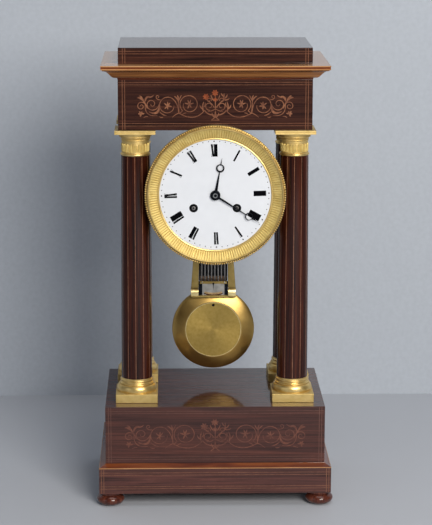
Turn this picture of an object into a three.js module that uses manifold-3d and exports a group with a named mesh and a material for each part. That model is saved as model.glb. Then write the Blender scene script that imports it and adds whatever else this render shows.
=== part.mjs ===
// A four-column portico mantel clock with a gridiron pendulum.
// Millimetres, +Z up, the dial looks along -Y, the origin lies on the floor under the middle of the case.

import * as THREE from 'three';
import { mergeVertices } from 'three/addons/utils/BufferGeometryUtils.js';
import Module from 'manifold-3d';

const wasm = await Module();
wasm.setup();

// Running and seating gap between pieces
const CLEARANCE = 0.3;

// Driving dimensions: the case
const COLUMN_SPAN_X = 168.6;
const COLUMN_SPAN_Y = 80.6;
const FOOT_RADIUS = 15;
const FOOT_CONTACT_RADIUS = 9;
const FOOT_HEIGHT = 14.5;
const FOOT_INSET = 12;
const BASE_HEIGHT = 28;
const BASE_WALL = 26;
const BASE_STEP = 7;
const CAP_BOARD_THICKNESS = 4;
const CAP_BOARD_LIP = 0.6;
const PLINTH_HEIGHT = 63;
const PLINTH_WALL = 14;
const PLINTH_TOP_THICKNESS = 10;
const PLINTH_MARGIN_X = 33.7;
const PLINTH_MARGIN_Y = 37.2;
const COLUMN_BASE_SIDE = 45;
const COLUMN_BASE_SLAB = 9.6;
const COLUMN_BASE_TURNING = 15;
const COLUMN_BASE_RADIUS = 21.6;
const SHAFT_HEIGHT = 242.8;
const SHAFT_FOOT_RADIUS = 16.5;
const SHAFT_NECK_RADIUS = 14.9;
const TENON_RADIUS = 5;
const TENON_BITE = 7;
const CAPITAL_BELL_HEIGHT = 24.3;
const ABACUS_SIDE = 43;
const ABACUS_HEIGHT = 4;
const FRIEZE_HEIGHT = 53.7;
const FRIEZE_WALL = 10;
const FRIEZE_FLOOR = 9;
const FRIEZE_MARGIN_X = 17.7;
const FRIEZE_MARGIN_Y = 16.7;
const CORNICE_HEIGHT = 15.7;
const CORNICE_OVERHANG = 17.5;
const CORNICE_FILLET = 4.3;
const ATTIC_HEIGHT = 17.2;
const ATTIC_INSET = 0.4;

// Turned outlines: [inset from the largest radius, share of the height]
const FOOT_OUTLINE = [[1.6, 0.17], [0, 0.45], [1.2, 0.72], [4, 0.9], [5, 1]];
const COLUMN_BASE_OUTLINE = [[1.6, 0], [0.3, 0.12], [0.3, 0.34], [2, 0.48], [4, 0.5], [4.6, 0.66], [3.4, 0.78],
  [2.7, 0.88], [3.6, 1]];

// The capital's bell: [swell over the shaft's neck, share of the height]
const CAPITAL_OUTLINE = [[0, 0], [1, 0.05], [1, 0.12], [-0.2, 0.17], [-0.4, 0.5], [0.6, 0.78], [3.5, 0.92]];

// Moulded edges: [share of the width, share of the height]
const CORNICE_OUTLINE = [[0.04, 0], [0.04, 0.18], [0.2, 0.22], [0.34, 0.31], [0.43, 0.46], [0.5, 0.62],
  [0.6, 0.78], [0.74, 0.9], [0.9, 0.97], [1, 1]];
const BEZEL_OUTLINE = [[0, 0.52], [0.1, 0.66], [0.22, 0.58], [0.36, 0.66], [0.56, 0.84], [0.72, 0.98],
  [0.82, 1], [0.93, 0.86], [1, 0.6]];

// Driving dimensions: the drum, the bezel and the dial
const DIAL_OPENING_RADIUS = 59;
const DRUM_OVER_OPENING = 1;
const DRUM_WALL = 1.5;
const DRUM_FLANGE_WIDTH = 7.5;
const DRUM_FLANGE_THICKNESS = 2;
const DRUM_LEDGE_WIDTH = 13;
const SADDLE_HEIGHT = 8.3;
const SADDLE_WIDTH = 44;
const SADDLE_LENGTH = 40;
const BEZEL_STANDOFF = 0.8;
const BEZEL_SEAT_DEPTH = 0.4;
const BEZEL_WIDTH = 16;
const BEZEL_HEIGHT = 9;
const BEZEL_LIP = 5.3;
const DIAL_THICKNESS = 2;
const DIAL_CENTRE_EASE = 1;
const DIAL_FOOT_RADIUS = 1.6;
const DIAL_FOOT_CIRCLE = 40;
const DIAL_FOOT_ANGLES = [30, 150, 270];

// Driving dimensions: the movement
const PLATE_TO_DRUM = 8.5;
const PLATE_THICKNESS = 2;
const PLATE_GAP = 40;
const MOTION_SPACE = 11.5;
const PILLAR_RADIUS = 3;
const PILLAR_INSET = 5.5;
const PILLAR_ANGLES = [35, 145, 250, 290];
const WINDING_X = 22.9;
const WINDING_DROP = 14;
const WINDING_HOLE_RADIUS = 4.7;
const WINDING_ARBOR_RADIUS = 3;
const WINDING_PIVOT_RADIUS = 1.5;
const WINDING_PIVOT_LENGTH = 6;
const WINDING_SQUARE = 4.2;
const SQUARE_BELOW_FACE = 0.5;
const RATCHET_RADIUS = 8;
const RATCHET_TOOTH = 1;
const RATCHET_TEETH = 20;
const RATCHET_THICKNESS = 1.6;
const GREAT_WHEEL_THICKNESS = 2.5;
const BARREL_STEP = 0.24;
const BARREL_WALL = 1.4;
const SPRING_TURNS = 3;
const SPRING_STEPS = 12;
const SPRING_THICKNESS = 0.5;
const SPRING_START_GAP = 1.2;
const WHEEL_THICKNESS = 1.5;
const PINION_LENGTH = 4;
const ARBOR_UNDERCUT = 0.1;
const THIN_ARBOR_RADIUS = 0.9;
const THIRD_DIRECTION = 105;
const ESCAPE_TEETH = 40;
const ESCAPE_RADIUS = 6.8;
const ESCAPE_TOOTH = 1.1;
const ANCHOR_GAP = 2.05;
const ANCHOR_BOSS_RADIUS = 1.5;
const ANCHOR_ARM_HEIGHT = 1.5;
const NIB_GAP = 0.7;
const NIB_DIRECTION = 36;
const NIB_WIDTH = 1;
const PIN_WHEEL_DIRECTION = 65;
const PIN_COUNT = 10;
const PIN_RADIUS = 0.5;
const PIN_LENGTH = 2.5;
const PIN_INSET = 1.2;
const FLY_DIRECTION = 100;
const FLY_HALF_WIDTH = 5;
const FLY_THICKNESS = 0.7;
const FLY_FROM_BACK = 4;
const COUNT_WHEEL_RADIUS = 13;
const COUNT_SLOT_DEPTH = 2.2;
const COUNT_SLOT_HALF_ANGLE = 1.6;
const MOTION_WHEEL_GAP = 1.2;
const HOUR_WHEEL_GAP = 2;
const MINUTE_STUD_RADIUS = 1.2;
const PIPE_WALL = 0.9;
const CANNON_NOSE = 0.6;

// Each pair of gears: teeth of the wheel, leaves of the pinion that meets it, and their module
const GREAT = { wheel: 48, pinion: 6, module: 0.84 };
const INTERMEDIATE = { wheel: 36, pinion: 6, module: 0.74 };
const CENTRE = { wheel: 60, pinion: 6, module: 0.44 };
const THIRD = { wheel: 60, pinion: 6, module: 0.36 };
const SECOND = { wheel: 54, pinion: 6, module: 0.44 };
const PIN = { wheel: 60, pinion: 6, module: 0.34 };
const CANNON = { wheel: 24, pinion: 8, module: 0.75 };
const HOUR = { wheel: 32, pinion: 8, module: 0.6 };
const TOOTH_ADDENDUM = 0.75;
const TOOTH_DEDENDUM = 1.1;
const DEPTHING_EASE = 0.2;

// Where each wheel stands, from the front plate or from the back plate
const BARREL_LEVEL = 3;
const PIN_LEVEL = 10;
const THIRD_LEVEL = 18;
const ESCAPE_LEVEL = 24;
const INTERMEDIATE_FROM_BACK = 10;
const CENTRE_FROM_BACK = 5.5;
const BARREL_TO_INTERMEDIATE = 3;

// Driving dimensions: the hands
const HAND_THICKNESS = 0.8;
const HAND_GAP = 1;
const HAND_HUB_RADIUS = 5.5;
const HAND_ROOT_WIDTH = 2.4;
const HAND_NECK_WIDTH = 1.6;
const HAND_POINT_WIDTH = 2.2;
const MOON_RING_WIDTH = 1.1;
const HOUR_HAND_LENGTH = 40;
const HOUR_MOON_AT = 29;
const HOUR_MOON_RADIUS = 4.3;
const MINUTE_HAND_LENGTH = 55;
const MINUTE_MOON_AT = 42.5;
const MINUTE_MOON_RADIUS = 3.7;
const MINUTES_SHOWN = 20.4;

// Driving dimensions: the bell and the hammer
const BELL_RADIUS = 32;
const BELL_DEPTH = 19.6;
const BELL_WALL = 1.6;
const BELL_STEPS = 5;
const BELL_BEHIND_SWING = 13.5;
const BELL_POST_RADIUS = 2;
const BELL_POST_DIRECTION = -31.4;
const POST_COLLAR_WIDTH = 0.9;
const POST_COLLAR_LENGTH = 2.2;
const BELL_ARM_WIDTH = 5;
const BELL_ARM_THICKNESS = 3;
const BELL_ARM_EYE_RADIUS = 3.5;
const HAMMER_DIRECTION = 160;
const HAMMER_FROM_COUNT_WHEEL = 2;
const HAMMER_DROP = 20;
const HAMMER_GAP = 0.5;
const HAMMER_HEAD_RADIUS = 2.5;
const HAMMER_HEAD_LENGTH = 5;
const HAMMER_HEAD_LEAD = 1;
const HAMMER_STRIP = 1.4;
const HAMMER_BOSS_RADIUS = 1.6;
const HAMMER_TAIL_GAP = 0.4;

// Driving dimensions: the pendulum and what carries and drives it
const SWING_BEHIND_PLATE = 31.5;
const BOB_RADIUS = 45.8;
const BOB_DISC_RADIUS = 31.3;
const BOB_THICKNESS = 16.4;
const BOB_RIM = 1.6;
const BOB_DISC_STEP = 0.7;
const BOB_FLOOR_GAP = 14.7;
const BOB_LENS_POWER = 0.75;
const ROD_COUNT = 7;
const ROD_RADIUS = 1.35;
const ROD_PITCH = 4.45;
const ROD_BITE = 13.7;
const UPPER_BAR_HEIGHT = 6;
const LOWER_BAR_HEIGHT = 4;
const CROSSBAR_DEPTH = 5;
const CROSSBAR_END = 0.2;
const CROSSBAR_BELOW_CRUTCH = 12;
const STEM_WIDTH = 5;
const STEM_TOP_DROP = 5.3;
const CRUTCH_LENGTH = 27.3;
const CRUTCH_STANDOFF = 10;
const CRUTCH_BOSS_LENGTH = 3;
const CRUTCH_BOSS_RADIUS = 2;
const CRUTCH_ROD_WIDTH = 2;
const CRUTCH_ROD_THICKNESS = 1.6;
const CRUTCH_PIN_RADIUS = 1;
const STRAP_WIDTH = 7.2;
const STRAP_THICKNESS = 2.8;
const STIRRUP_FLARE = 2.8;
const STIRRUP_FLARE_RISE = 20;
const STIRRUP_BEND_RISE = 7;
const STIRRUP_BEND_INSET = 0.4;
const RAIL_HEIGHT = 5.2;
const RAIL_CORNER = 4;
const RAIL_INNER_CORNER = 1.5;
const RAIL_ABOVE_BOB_CENTRE = 36.6;
const INDICATOR_HEIGHT = 13;
const INDICATOR_THICKNESS = 1.2;
const INDICATOR_RECESS = 0.4;
const NEEDLE_LENGTH = 8;
const NEEDLE_WIDTH = 1;
const NEEDLE_THICKNESS = 0.6;
const NEEDLE_HUB_RADIUS = 1.1;
const NEEDLE_PIVOT_DROP = 2.5;
const COCK_ARM = 3;
const COCK_END = 2;
const SUSPENSION_BLOCK_WIDTH = 8;
const SUSPENSION_BLOCK_HEIGHT = 6;
const SUSPENSION_PIN_RADIUS = 1;
const LEAF_THICKNESS = 0.4;
const LEAF_BITE = 7;
const LEAF_SLOT_EASE = 0.9;

// Facets of round pieces
const FINE_SIDES = 40;
const ROUND_SIDES = 20;
const SMALL_SIDES = 8;
const PIN_SIDES = 4;

// How far a cutting solid passes the face that it opens
const overcut = CLEARANCE;
const widened = ([start, end]) => [start - overcut, end + overcut];

// Heights of the case, from the floor up
const baseBottom = FOOT_HEIGHT;
const capBottom = baseBottom + BASE_HEIGHT;
const plinthBottom = capBottom + CAP_BOARD_THICKNESS;
const plinthTop = plinthBottom + PLINTH_HEIGHT;
const shaftBottom = plinthTop + COLUMN_BASE_SLAB + COLUMN_BASE_TURNING;
const shaftTop = shaftBottom + SHAFT_HEIGHT;
const friezeBottom = shaftTop + CAPITAL_BELL_HEIGHT + ABACUS_HEIGHT;
const friezeTop = friezeBottom + FRIEZE_HEIGHT;
const corniceTop = friezeTop + CORNICE_HEIGHT;
const atticTop = corniceTop + ATTIC_HEIGHT;

// Widths and depths of the case
const plinthWidth = COLUMN_SPAN_X + 2 * PLINTH_MARGIN_X;
const plinthDepth = COLUMN_SPAN_Y + 2 * PLINTH_MARGIN_Y;
const baseWidth = plinthWidth + 2 * BASE_STEP;
const baseDepth = plinthDepth + 2 * BASE_STEP;
const friezeWidth = COLUMN_SPAN_X + 2 * FRIEZE_MARGIN_X;
const friezeDepth = COLUMN_SPAN_Y + 2 * FRIEZE_MARGIN_Y;
const tenonHole = TENON_RADIUS + CLEARANCE;

// Radii of the drum, the dial, the bezel and the plates
const drumRadius = DIAL_OPENING_RADIUS + DRUM_OVER_OPENING;
const drumBore = drumRadius - DRUM_WALL;
const ledgeBore = drumBore - DRUM_LEDGE_WIDTH;
const dialRadius = DIAL_OPENING_RADIUS + BEZEL_LIP;
const bezelRadius = DIAL_OPENING_RADIUS + BEZEL_WIDTH;
const plateRadius = drumBore - PLATE_TO_DRUM;

// The movement's own frame: its origin is on the dial's axis, on the inner face of the front plate
const dialCentre = friezeBottom - SADDLE_HEIGHT - drumRadius;
const plateFront = -PLATE_THICKNESS;
const backPlateFront = PLATE_GAP;
const backPlateRear = PLATE_GAP + PLATE_THICKNESS;
const dialBack = plateFront - MOTION_SPACE;
const dialFace = dialBack - DIAL_THICKNESS;
const drumFront = dialBack + CLEARANCE;
const bezelBack = drumFront + BEZEL_SEAT_DEPTH;
const flangeFront = bezelBack + CLEARANCE;
const ledgeFront = backPlateRear + CLEARANCE;
const movementFront = -friezeDepth / 2 - BEZEL_STANDOFF - bezelBack;
const intermediateLevel = PLATE_GAP - INTERMEDIATE_FROM_BACK;
const centreLevel = PLATE_GAP - CENTRE_FROM_BACK;
const barrelFront = BARREL_LEVEL + GREAT_WHEEL_THICKNESS;
const barrelRear = intermediateLevel - BARREL_TO_INTERMEDIATE;
const swingPlane = backPlateRear + SWING_BEHIND_PLATE;

// Materials
const finish = (color, roughness, metalness) =>
  new THREE.MeshStandardMaterial({ color, roughness, metalness });
const rosewood = finish(0x3d221c, 0.25, 0);
const amberWood = finish(0x8a5a35, 0.25, 0);
const giltBronze = finish(0xd9b95f, 0.3, 1);
const brass = finish(0xb08d45, 0.3, 1);
const steel = finish(0x9a9da0, 0.35, 1);
const blackSteel = finish(0x1c1f22, 0.4, 0.6);
const enamel = finish(0xe9ecf2, 0.15, 0);
const bellMetal = finish(0xc0a060, 0.25, 1);
const silvered = finish(0xc9c8c2, 0.35, 1);

// Closed meshes joined and cut as solids
function solidOf(geometry) {
  const bare = geometry.clone();
  bare.deleteAttribute('normal');
  bare.deleteAttribute('uv');
  const merged = mergeVertices(bare, 1e-4);
  const corners = merged.index.array;
  const triangles = [];
  for (let i = 0; i < corners.length; i += 3) {
    const [a, b, c] = corners.slice(i, i + 3);
    if (a !== b && b !== c && c !== a) triangles.push(a, b, c);
  }
  return new wasm.Manifold(new wasm.Mesh({
    numProp: 3,
    vertProperties: merged.attributes.position.array,
    triVerts: new Uint32Array(triangles),
  }));
}

function geometryOf(solid) {
  const mesh = solid.getMesh();
  const geometry = new THREE.BufferGeometry();
  geometry.setAttribute('position', new THREE.BufferAttribute(new Float32Array(mesh.vertProperties), 3));
  geometry.setIndex(new THREE.BufferAttribute(new Uint32Array(mesh.triVerts), 1));
  geometry.computeVertexNormals();
  return geometry;
}

function join(first, ...others) {
  return geometryOf(others.reduce((sum, other) => sum.add(solidOf(other)), solidOf(first)));
}

function cut(body, ...tools) {
  return geometryOf(tools.reduce((rest, tool) => rest.subtract(solidOf(tool)), solidOf(body)));
}

// A box between two corners
function block([x0, x1], [y0, y1], [z0, z1]) {
  const geometry = new THREE.BoxGeometry(x1 - x0, y1 - y0, z1 - z0);
  return geometry.translate((x0 + x1) / 2, (y0 + y1) / 2, (z0 + z1) / 2);
}

// The span of a given width about zero
const about = (width) => [-width / 2, width / 2];

// A box centred on the Z axis
const slab = (width, depth, heights) => block(about(width), about(depth), heights);

// A turning about the Y axis; the profile lists [radius, y] with the material on its left
function turnedY(profile, sides) {
  const points = profile.map(([radius, y]) => new THREE.Vector2(radius, y));
  return new THREE.LatheGeometry(points, sides);
}

// The same about the Z axis, with [radius, z]
const turnedZ = (profile, sides) => turnedY(profile, sides).rotateX(Math.PI / 2);

// A round rod along Y, through x and z
function rodY(radius, [y0, y1], sides = SMALL_SIDES, [x, z] = [0, 0]) {
  const geometry = new THREE.CylinderGeometry(radius, radius, y1 - y0, sides);
  return geometry.translate(x, (y0 + y1) / 2, z);
}

// A round rod along Z, through x and y
function rodZ(radius, [z0, z1], [x, y] = [0, 0]) {
  const geometry = new THREE.CylinderGeometry(radius, radius, z1 - z0, SMALL_SIDES).rotateX(Math.PI / 2);
  return geometry.translate(x, y, (z0 + z1) / 2);
}

// A flat shape drawn in X and Z, with its thickness along Y
function plateY(shape, [y0, y1]) {
  const geometry = new THREE.ExtrudeGeometry(shape, { depth: y1 - y0, bevelEnabled: false });
  return geometry.rotateX(Math.PI / 2).translate(0, y1, 0);
}

const polygon = (points) => new THREE.Shape(points.map(([x, z]) => new THREE.Vector2(x, z)));

// A straight bar of the given width from one point of the XZ plane to another
function barY([x0, z0], [x1, z1], width, span) {
  const length = Math.hypot(x1 - x0, z1 - z0);
  const sideX = (z0 - z1) / length * width / 2;
  const sideZ = (x1 - x0) / length * width / 2;
  const outline = [[x0 + sideX, z0 + sideZ], [x0 - sideX, z0 - sideZ],
    [x1 - sideX, z1 - sideZ], [x1 + sideX, z1 + sideZ]];
  return plateY(polygon(outline), span);
}

// A block whose width and depth change from level to level, with mitred corners
function mouldedBlock(levels) {
  const positions = [];
  for (const [width, depth, z] of levels) {
    const x = width / 2;
    const y = depth / 2;
    positions.push(-x, -y, z, x, -y, z, x, y, z, -x, y, z);
  }
  const triangles = [0, 2, 1, 0, 3, 2];
  for (let level = 0; level + 1 < levels.length; level += 1) {
    for (let side = 0; side < 4; side += 1) {
      const a = 4 * level + side;
      const b = 4 * level + (side + 1) % 4;
      triangles.push(a, b, b + 4, a, b + 4, a + 4);
    }
  }
  const top = 4 * (levels.length - 1);
  triangles.push(top, top + 1, top + 2, top, top + 2, top + 3);
  const geometry = new THREE.BufferGeometry();
  geometry.setAttribute('position', new THREE.Float32BufferAttribute(positions, 3));
  geometry.setIndex(triangles);
  geometry.computeVertexNormals();
  return geometry;
}

// Points of the XZ plane
const degrees = Math.PI / 180;
const polar = (radius, angle) => [radius * Math.cos(angle), radius * Math.sin(angle)];
const angleTo = (from, to) => Math.atan2(to[1] - from[1], to[0] - from[0]);

function offset([x, z], radius, angle) {
  return [x + radius * Math.cos(angle), z + radius * Math.sin(angle)];
}

// The point at two given distances from two points, on the left of the way from the first to the second
function meetingPoint(first, firstDistance, second, secondDistance) {
  const apart = Math.hypot(second[0] - first[0], second[1] - first[1]);
  const along = (firstDistance ** 2 - secondDistance ** 2 + apart ** 2) / (2 * apart);
  const aside = Math.sqrt(firstDistance ** 2 - along ** 2);
  const way = angleTo(first, second);
  return offset(offset(first, along, way), aside, way + Math.PI / 2);
}

// Gears
const pitchRadius = (teeth, module) => teeth * module / 2;
const tipRadius = (teeth, module) => pitchRadius(teeth, module) + TOOTH_ADDENDUM * module;
const rootRadius = (teeth, module) => pitchRadius(teeth, module) - TOOTH_DEDENDUM * module;

function meshDistance({ wheel, pinion, module }) {
  return pitchRadius(wheel + pinion, module) + DEPTHING_EASE * module;
}

// Pointed teeth, with a tip at the given angle
function toothedShape(teeth, tip, root, tipAngle) {
  const points = [];
  const half = Math.PI / teeth;
  for (let tooth = 0; tooth < teeth; tooth += 1) {
    points.push(polar(tip, tipAngle + 2 * half * tooth));
    points.push(polar(root, tipAngle + half * (2 * tooth + 1)));
  }
  return polygon(points);
}

function gear(teeth, module, tipAngle, span) {
  return plateY(toothedShape(teeth, tipRadius(teeth, module), rootRadius(teeth, module), tipAngle), span);
}

// A wheel has a tooth on the line of centres, and the pinion that meets it has a gap there
const wheelGear = (pair, from, to, span) => gear(pair.wheel, pair.module, angleTo(from, to), span);
const pinionGear = (pair, from, to, span) =>
  gear(pair.pinion, pair.module, angleTo(to, from) + Math.PI / pair.pinion, span);

// The spans of a wheel and of the pinion that meets it, by the wheel's level
const wheelSpan = (level) => [level, level + WHEEL_THICKNESS];

function pinionSpan(level) {
  const middle = level + WHEEL_THICKNESS / 2;
  return [middle - PINION_LENGTH / 2, middle + PINION_LENGTH / 2];
}

// Places of the arbors, from the dial's axis
const centreAt = [0, 0];
const goingBarrelAt = [WINDING_X, -WINDING_DROP];
const strikeBarrelAt = [-WINDING_X, -WINDING_DROP];
const intermediateAt = meetingPoint(centreAt, meshDistance(INTERMEDIATE), goingBarrelAt, meshDistance(GREAT));
const thirdAt = offset(centreAt, meshDistance(CENTRE), THIRD_DIRECTION * degrees);
const escapeAt = [0, thirdAt[1] + Math.sqrt(meshDistance(THIRD) ** 2 - thirdAt[0] ** 2)];
const anchorAt = [0, escapeAt[1] + ESCAPE_RADIUS + ANCHOR_GAP];
const secondAt = [-WINDING_X, meshDistance(GREAT) - WINDING_DROP];
const pinWheelAt = offset(secondAt, meshDistance(SECOND), PIN_WHEEL_DIRECTION * degrees);
const flyAt = offset(pinWheelAt, meshDistance(PIN), FLY_DIRECTION * degrees);
const hammerAt = offset(secondAt, COUNT_WHEEL_RADIUS + HAMMER_FROM_COUNT_WHEEL, HAMMER_DIRECTION * degrees);
const minuteWheelAt = [0, -meshDistance(CANNON)];
const collarRadius = BELL_POST_RADIUS + POST_COLLAR_WIDTH;
const bellPostAt = polar(ledgeBore - collarRadius - CLEARANCE, BELL_POST_DIRECTION * degrees);

// Radii of the arbors, thin enough for the pinions cut on them
const arborRadius = ({ pinion, module }) => rootRadius(pinion, module) - ARBOR_UNDERCUT;
const arborSpan = [plateFront + CLEARANCE, backPlateRear - CLEARANCE];

// Pipes of the motion work, one inside the other, and the hands that they carry
const centreArborRadius = arborRadius(INTERMEDIATE);
const cannonBore = centreArborRadius + CLEARANCE;
const cannonPipeRadius = cannonBore + PIPE_WALL;
const hourPipeBore = cannonPipeRadius + CLEARANCE;
const hourPipeRadius = hourPipeBore + PIPE_WALL;
const hourHandBack = dialFace - HAND_GAP;
const hourHandFront = hourHandBack - HAND_THICKNESS;
const minuteHandBack = hourHandFront - HAND_GAP;
const minuteHandFront = minuteHandBack - HAND_THICKNESS;
const minuteWheelBack = plateFront - MOTION_WHEEL_GAP;
const minuteWheelFront = minuteWheelBack - WHEEL_THICKNESS;
const hourWheelBack = minuteWheelFront - HOUR_WHEEL_GAP;
const hourWheelFront = hourWheelBack - WHEEL_THICKNESS;

// The pendulum's own frame: its origin is on the axis of the swing
const pivotHeight = dialCentre + anchorAt[1];
const bobDrop = pivotHeight - plinthTop - BOB_FLOOR_GAP - BOB_RADIUS;

// Levels of the pendulum, from its axis
const upperBarTop = -CRUTCH_LENGTH - CROSSBAR_BELOW_CRUTCH;
const upperBarBottom = upperBarTop - UPPER_BAR_HEIGHT;
const railBottom = RAIL_ABOVE_BOB_CENTRE - bobDrop;
const railTop = railBottom + RAIL_HEIGHT;
const indicatorBottom = railTop + CLEARANCE;
const indicatorTop = indicatorBottom + INDICATOR_HEIGHT;
const lowerBarBottom = indicatorTop + CLEARANCE;
const lowerBarTop = lowerBarBottom + LOWER_BAR_HEIGHT;
const stemTop = -STEM_TOP_DROP;
const leafBottom = stemTop - LEAF_BITE;
const blockBottom = CRUTCH_BOSS_RADIUS + CLEARANCE;
const blockTop = blockBottom + SUSPENSION_BLOCK_HEIGHT;
const cockInner = SUSPENSION_BLOCK_WIDTH / 2 + CLEARANCE;
const cockOuter = cockInner + COCK_ARM;

// Widths of the pendulum
const bundleHalf = ROD_PITCH * (ROD_COUNT - 1) / 2 + ROD_RADIUS + CROSSBAR_END;
const strapInner = bundleHalf + CLEARANCE;

// Half of the bob's thickness: at its flat disc, and at a radius of the lens outside that
const lensHalf = BOB_THICKNESS / 2;

function lensAt(radius) {
  const share = (BOB_RADIUS - radius) / (BOB_RADIUS - BOB_DISC_RADIUS);
  return BOB_RIM / 2 + (lensHalf - BOB_DISC_STEP - BOB_RIM / 2) * share ** BOB_LENS_POWER;
}

// The stirrup lies just before the lens, and the indicator just behind the stirrup's face
const stirrupBack = -lensAt(RAIL_ABOVE_BOB_CENTRE) - CLEARANCE;
const stirrupFront = stirrupBack - STRAP_THICKNESS;
const indicatorFront = stirrupFront + INDICATOR_RECESS;

// The clock and its two placed frames
const clock = new THREE.Group();
const movement = new THREE.Group();
movement.position.set(0, movementFront, dialCentre);
const pendulum = new THREE.Group();
pendulum.position.set(0, movementFront + swingPlane, pivotHeight);
clock.add(movement, pendulum);

function piece(parent, name, geometry, material, [x, y, z] = [0, 0, 0]) {
  const mesh = new THREE.Mesh(geometry, material);
  mesh.name = name;
  mesh.position.set(x, y, z);
  parent.add(mesh);
}

const onArbor = ([x, z]) => [x, 0, z];

// Corners of a rectangle, by their names
function corners(halfX, halfY) {
  return [['front_left', -halfX, -halfY], ['front_right', halfX, -halfY],
    ['rear_left', -halfX, halfY], ['rear_right', halfX, halfY]];
}

const columnCorners = corners(COLUMN_SPAN_X / 2, COLUMN_SPAN_Y / 2);

function bunFoot() {
  const swell = FOOT_OUTLINE.map(([inset, share]) => [FOOT_RADIUS - inset, share * FOOT_HEIGHT]);
  return turnedZ([[0, 0], [FOOT_CONTACT_RADIUS, 0], ...swell, [0, FOOT_HEIGHT]], ROUND_SIDES);
}

function addBase() {
  for (const [place, x, y] of corners(baseWidth / 2 - FOOT_INSET, baseDepth / 2 - FOOT_INSET)) {
    piece(clock, `foot_${place}`, bunFoot(), rosewood, [x, y, 0]);
  }
  const frame = slab(baseWidth, baseDepth, [baseBottom, capBottom]);
  const frameHollow = slab(baseWidth - 2 * BASE_WALL, baseDepth - 2 * BASE_WALL,
    widened([baseBottom, capBottom]));
  piece(clock, 'base_frame', cut(frame, frameHollow), rosewood);

  const slopedEdge = mouldedBlock([[baseWidth, baseDepth, capBottom],
    [baseWidth, baseDepth, capBottom + CAP_BOARD_LIP], [plinthWidth, plinthDepth, plinthBottom]]);
  piece(clock, 'base_cap_board', slopedEdge, amberWood);

  const plinth = slab(plinthWidth, plinthDepth, [plinthBottom, plinthTop]);
  const plinthHollow = slab(plinthWidth - 2 * PLINTH_WALL, plinthDepth - 2 * PLINTH_WALL,
    [plinthBottom - overcut, plinthTop - PLINTH_TOP_THICKNESS]);
  const sockets = columnCorners.map(([, x, y]) =>
    rodZ(tenonHole, [plinthTop - TENON_BITE - CLEARANCE, plinthTop + overcut], [x, y]));
  piece(clock, 'plinth_case', cut(plinth, plinthHollow, ...sockets), rosewood);
}

// Square slab, torus, hollow and ring, bored for the shaft's tenon
function columnBase() {
  const height = COLUMN_BASE_SLAB + COLUMN_BASE_TURNING;
  const rings = COLUMN_BASE_OUTLINE.map(([inset, share]) =>
    [COLUMN_BASE_RADIUS - inset, COLUMN_BASE_SLAB + share * COLUMN_BASE_TURNING]);
  const sunk = COLUMN_BASE_SLAB / 2;
  const turning = turnedZ([[0, sunk], [rings[0][0], sunk], ...rings, [0, height]], ROUND_SIDES);
  const square = slab(COLUMN_BASE_SIDE, COLUMN_BASE_SIDE, [0, COLUMN_BASE_SLAB]);
  return cut(join(square, turning), rodZ(tenonHole, widened([0, height])));
}

function columnShaft() {
  const bottom = -COLUMN_BASE_SLAB - COLUMN_BASE_TURNING - TENON_BITE;
  const top = SHAFT_HEIGHT + CAPITAL_BELL_HEIGHT + ABACUS_HEIGHT + TENON_BITE;
  const outline = [[0, 0], [SHAFT_FOOT_RADIUS, 0], [SHAFT_NECK_RADIUS, SHAFT_HEIGHT], [0, SHAFT_HEIGHT]];
  return join(turnedZ(outline, ROUND_SIDES), rodZ(TENON_RADIUS, [bottom, top]));
}

// Ring, bell and flare under a square abacus, bored for the shaft's tenon
function capital() {
  const height = CAPITAL_BELL_HEIGHT + ABACUS_HEIGHT;
  const sunk = CAPITAL_BELL_HEIGHT + ABACUS_HEIGHT / 2;
  const rings = CAPITAL_OUTLINE.map(([swell, share]) =>
    [SHAFT_NECK_RADIUS + swell, share * CAPITAL_BELL_HEIGHT]);
  const flare = rings[rings.length - 1][0];
  const bell = turnedZ([[0, 0], ...rings, [flare, sunk], [0, sunk]], ROUND_SIDES);
  const abacus = slab(ABACUS_SIDE, ABACUS_SIDE, [CAPITAL_BELL_HEIGHT, height]);
  return cut(join(abacus, bell), rodZ(tenonHole, widened([0, height])));
}

function addColumns() {
  const kinds = [['column_base', columnBase(), giltBronze, plinthTop],
    ['column_shaft', columnShaft(), rosewood, shaftBottom], ['capital', capital(), giltBronze, shaftTop]];
  for (const [kind, geometry, material, z] of kinds) {
    for (const [place, x, y] of columnCorners) {
      piece(clock, `${kind}_${place}`, geometry, material, [x, y, z]);
    }
  }
}

// The cornice's edge from the frieze up: a small step, a hollow over a swelling, and a fillet
function cornice() {
  const moulding = CORNICE_HEIGHT - CORNICE_FILLET;
  const level = (overhang, z) => [friezeWidth + 2 * overhang, friezeDepth + 2 * overhang, z];
  const edge = CORNICE_OUTLINE.map(([width, height]) =>
    level(width * CORNICE_OVERHANG, friezeTop + height * moulding));
  return mouldedBlock([...edge, level(CORNICE_OVERHANG, corniceTop)]);
}

function addEntablature() {
  const frieze = slab(friezeWidth, friezeDepth, [friezeBottom, friezeTop]);
  const hollow = slab(friezeWidth - 2 * FRIEZE_WALL, friezeDepth - 2 * FRIEZE_WALL,
    [friezeBottom + FRIEZE_FLOOR, friezeTop + overcut]);
  const sockets = columnCorners.map(([, x, y]) =>
    rodZ(tenonHole, [friezeBottom - overcut, friezeBottom + TENON_BITE + CLEARANCE], [x, y]));
  piece(clock, 'frieze_case', cut(frieze, hollow, ...sockets), rosewood);
  piece(clock, 'cornice', cornice(), amberWood);
  const attic = slab(friezeWidth - 2 * ATTIC_INSET, friezeDepth - 2 * ATTIC_INSET, [corniceTop, atticTop]);
  piece(clock, 'attic', attic, rosewood);
}

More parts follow.
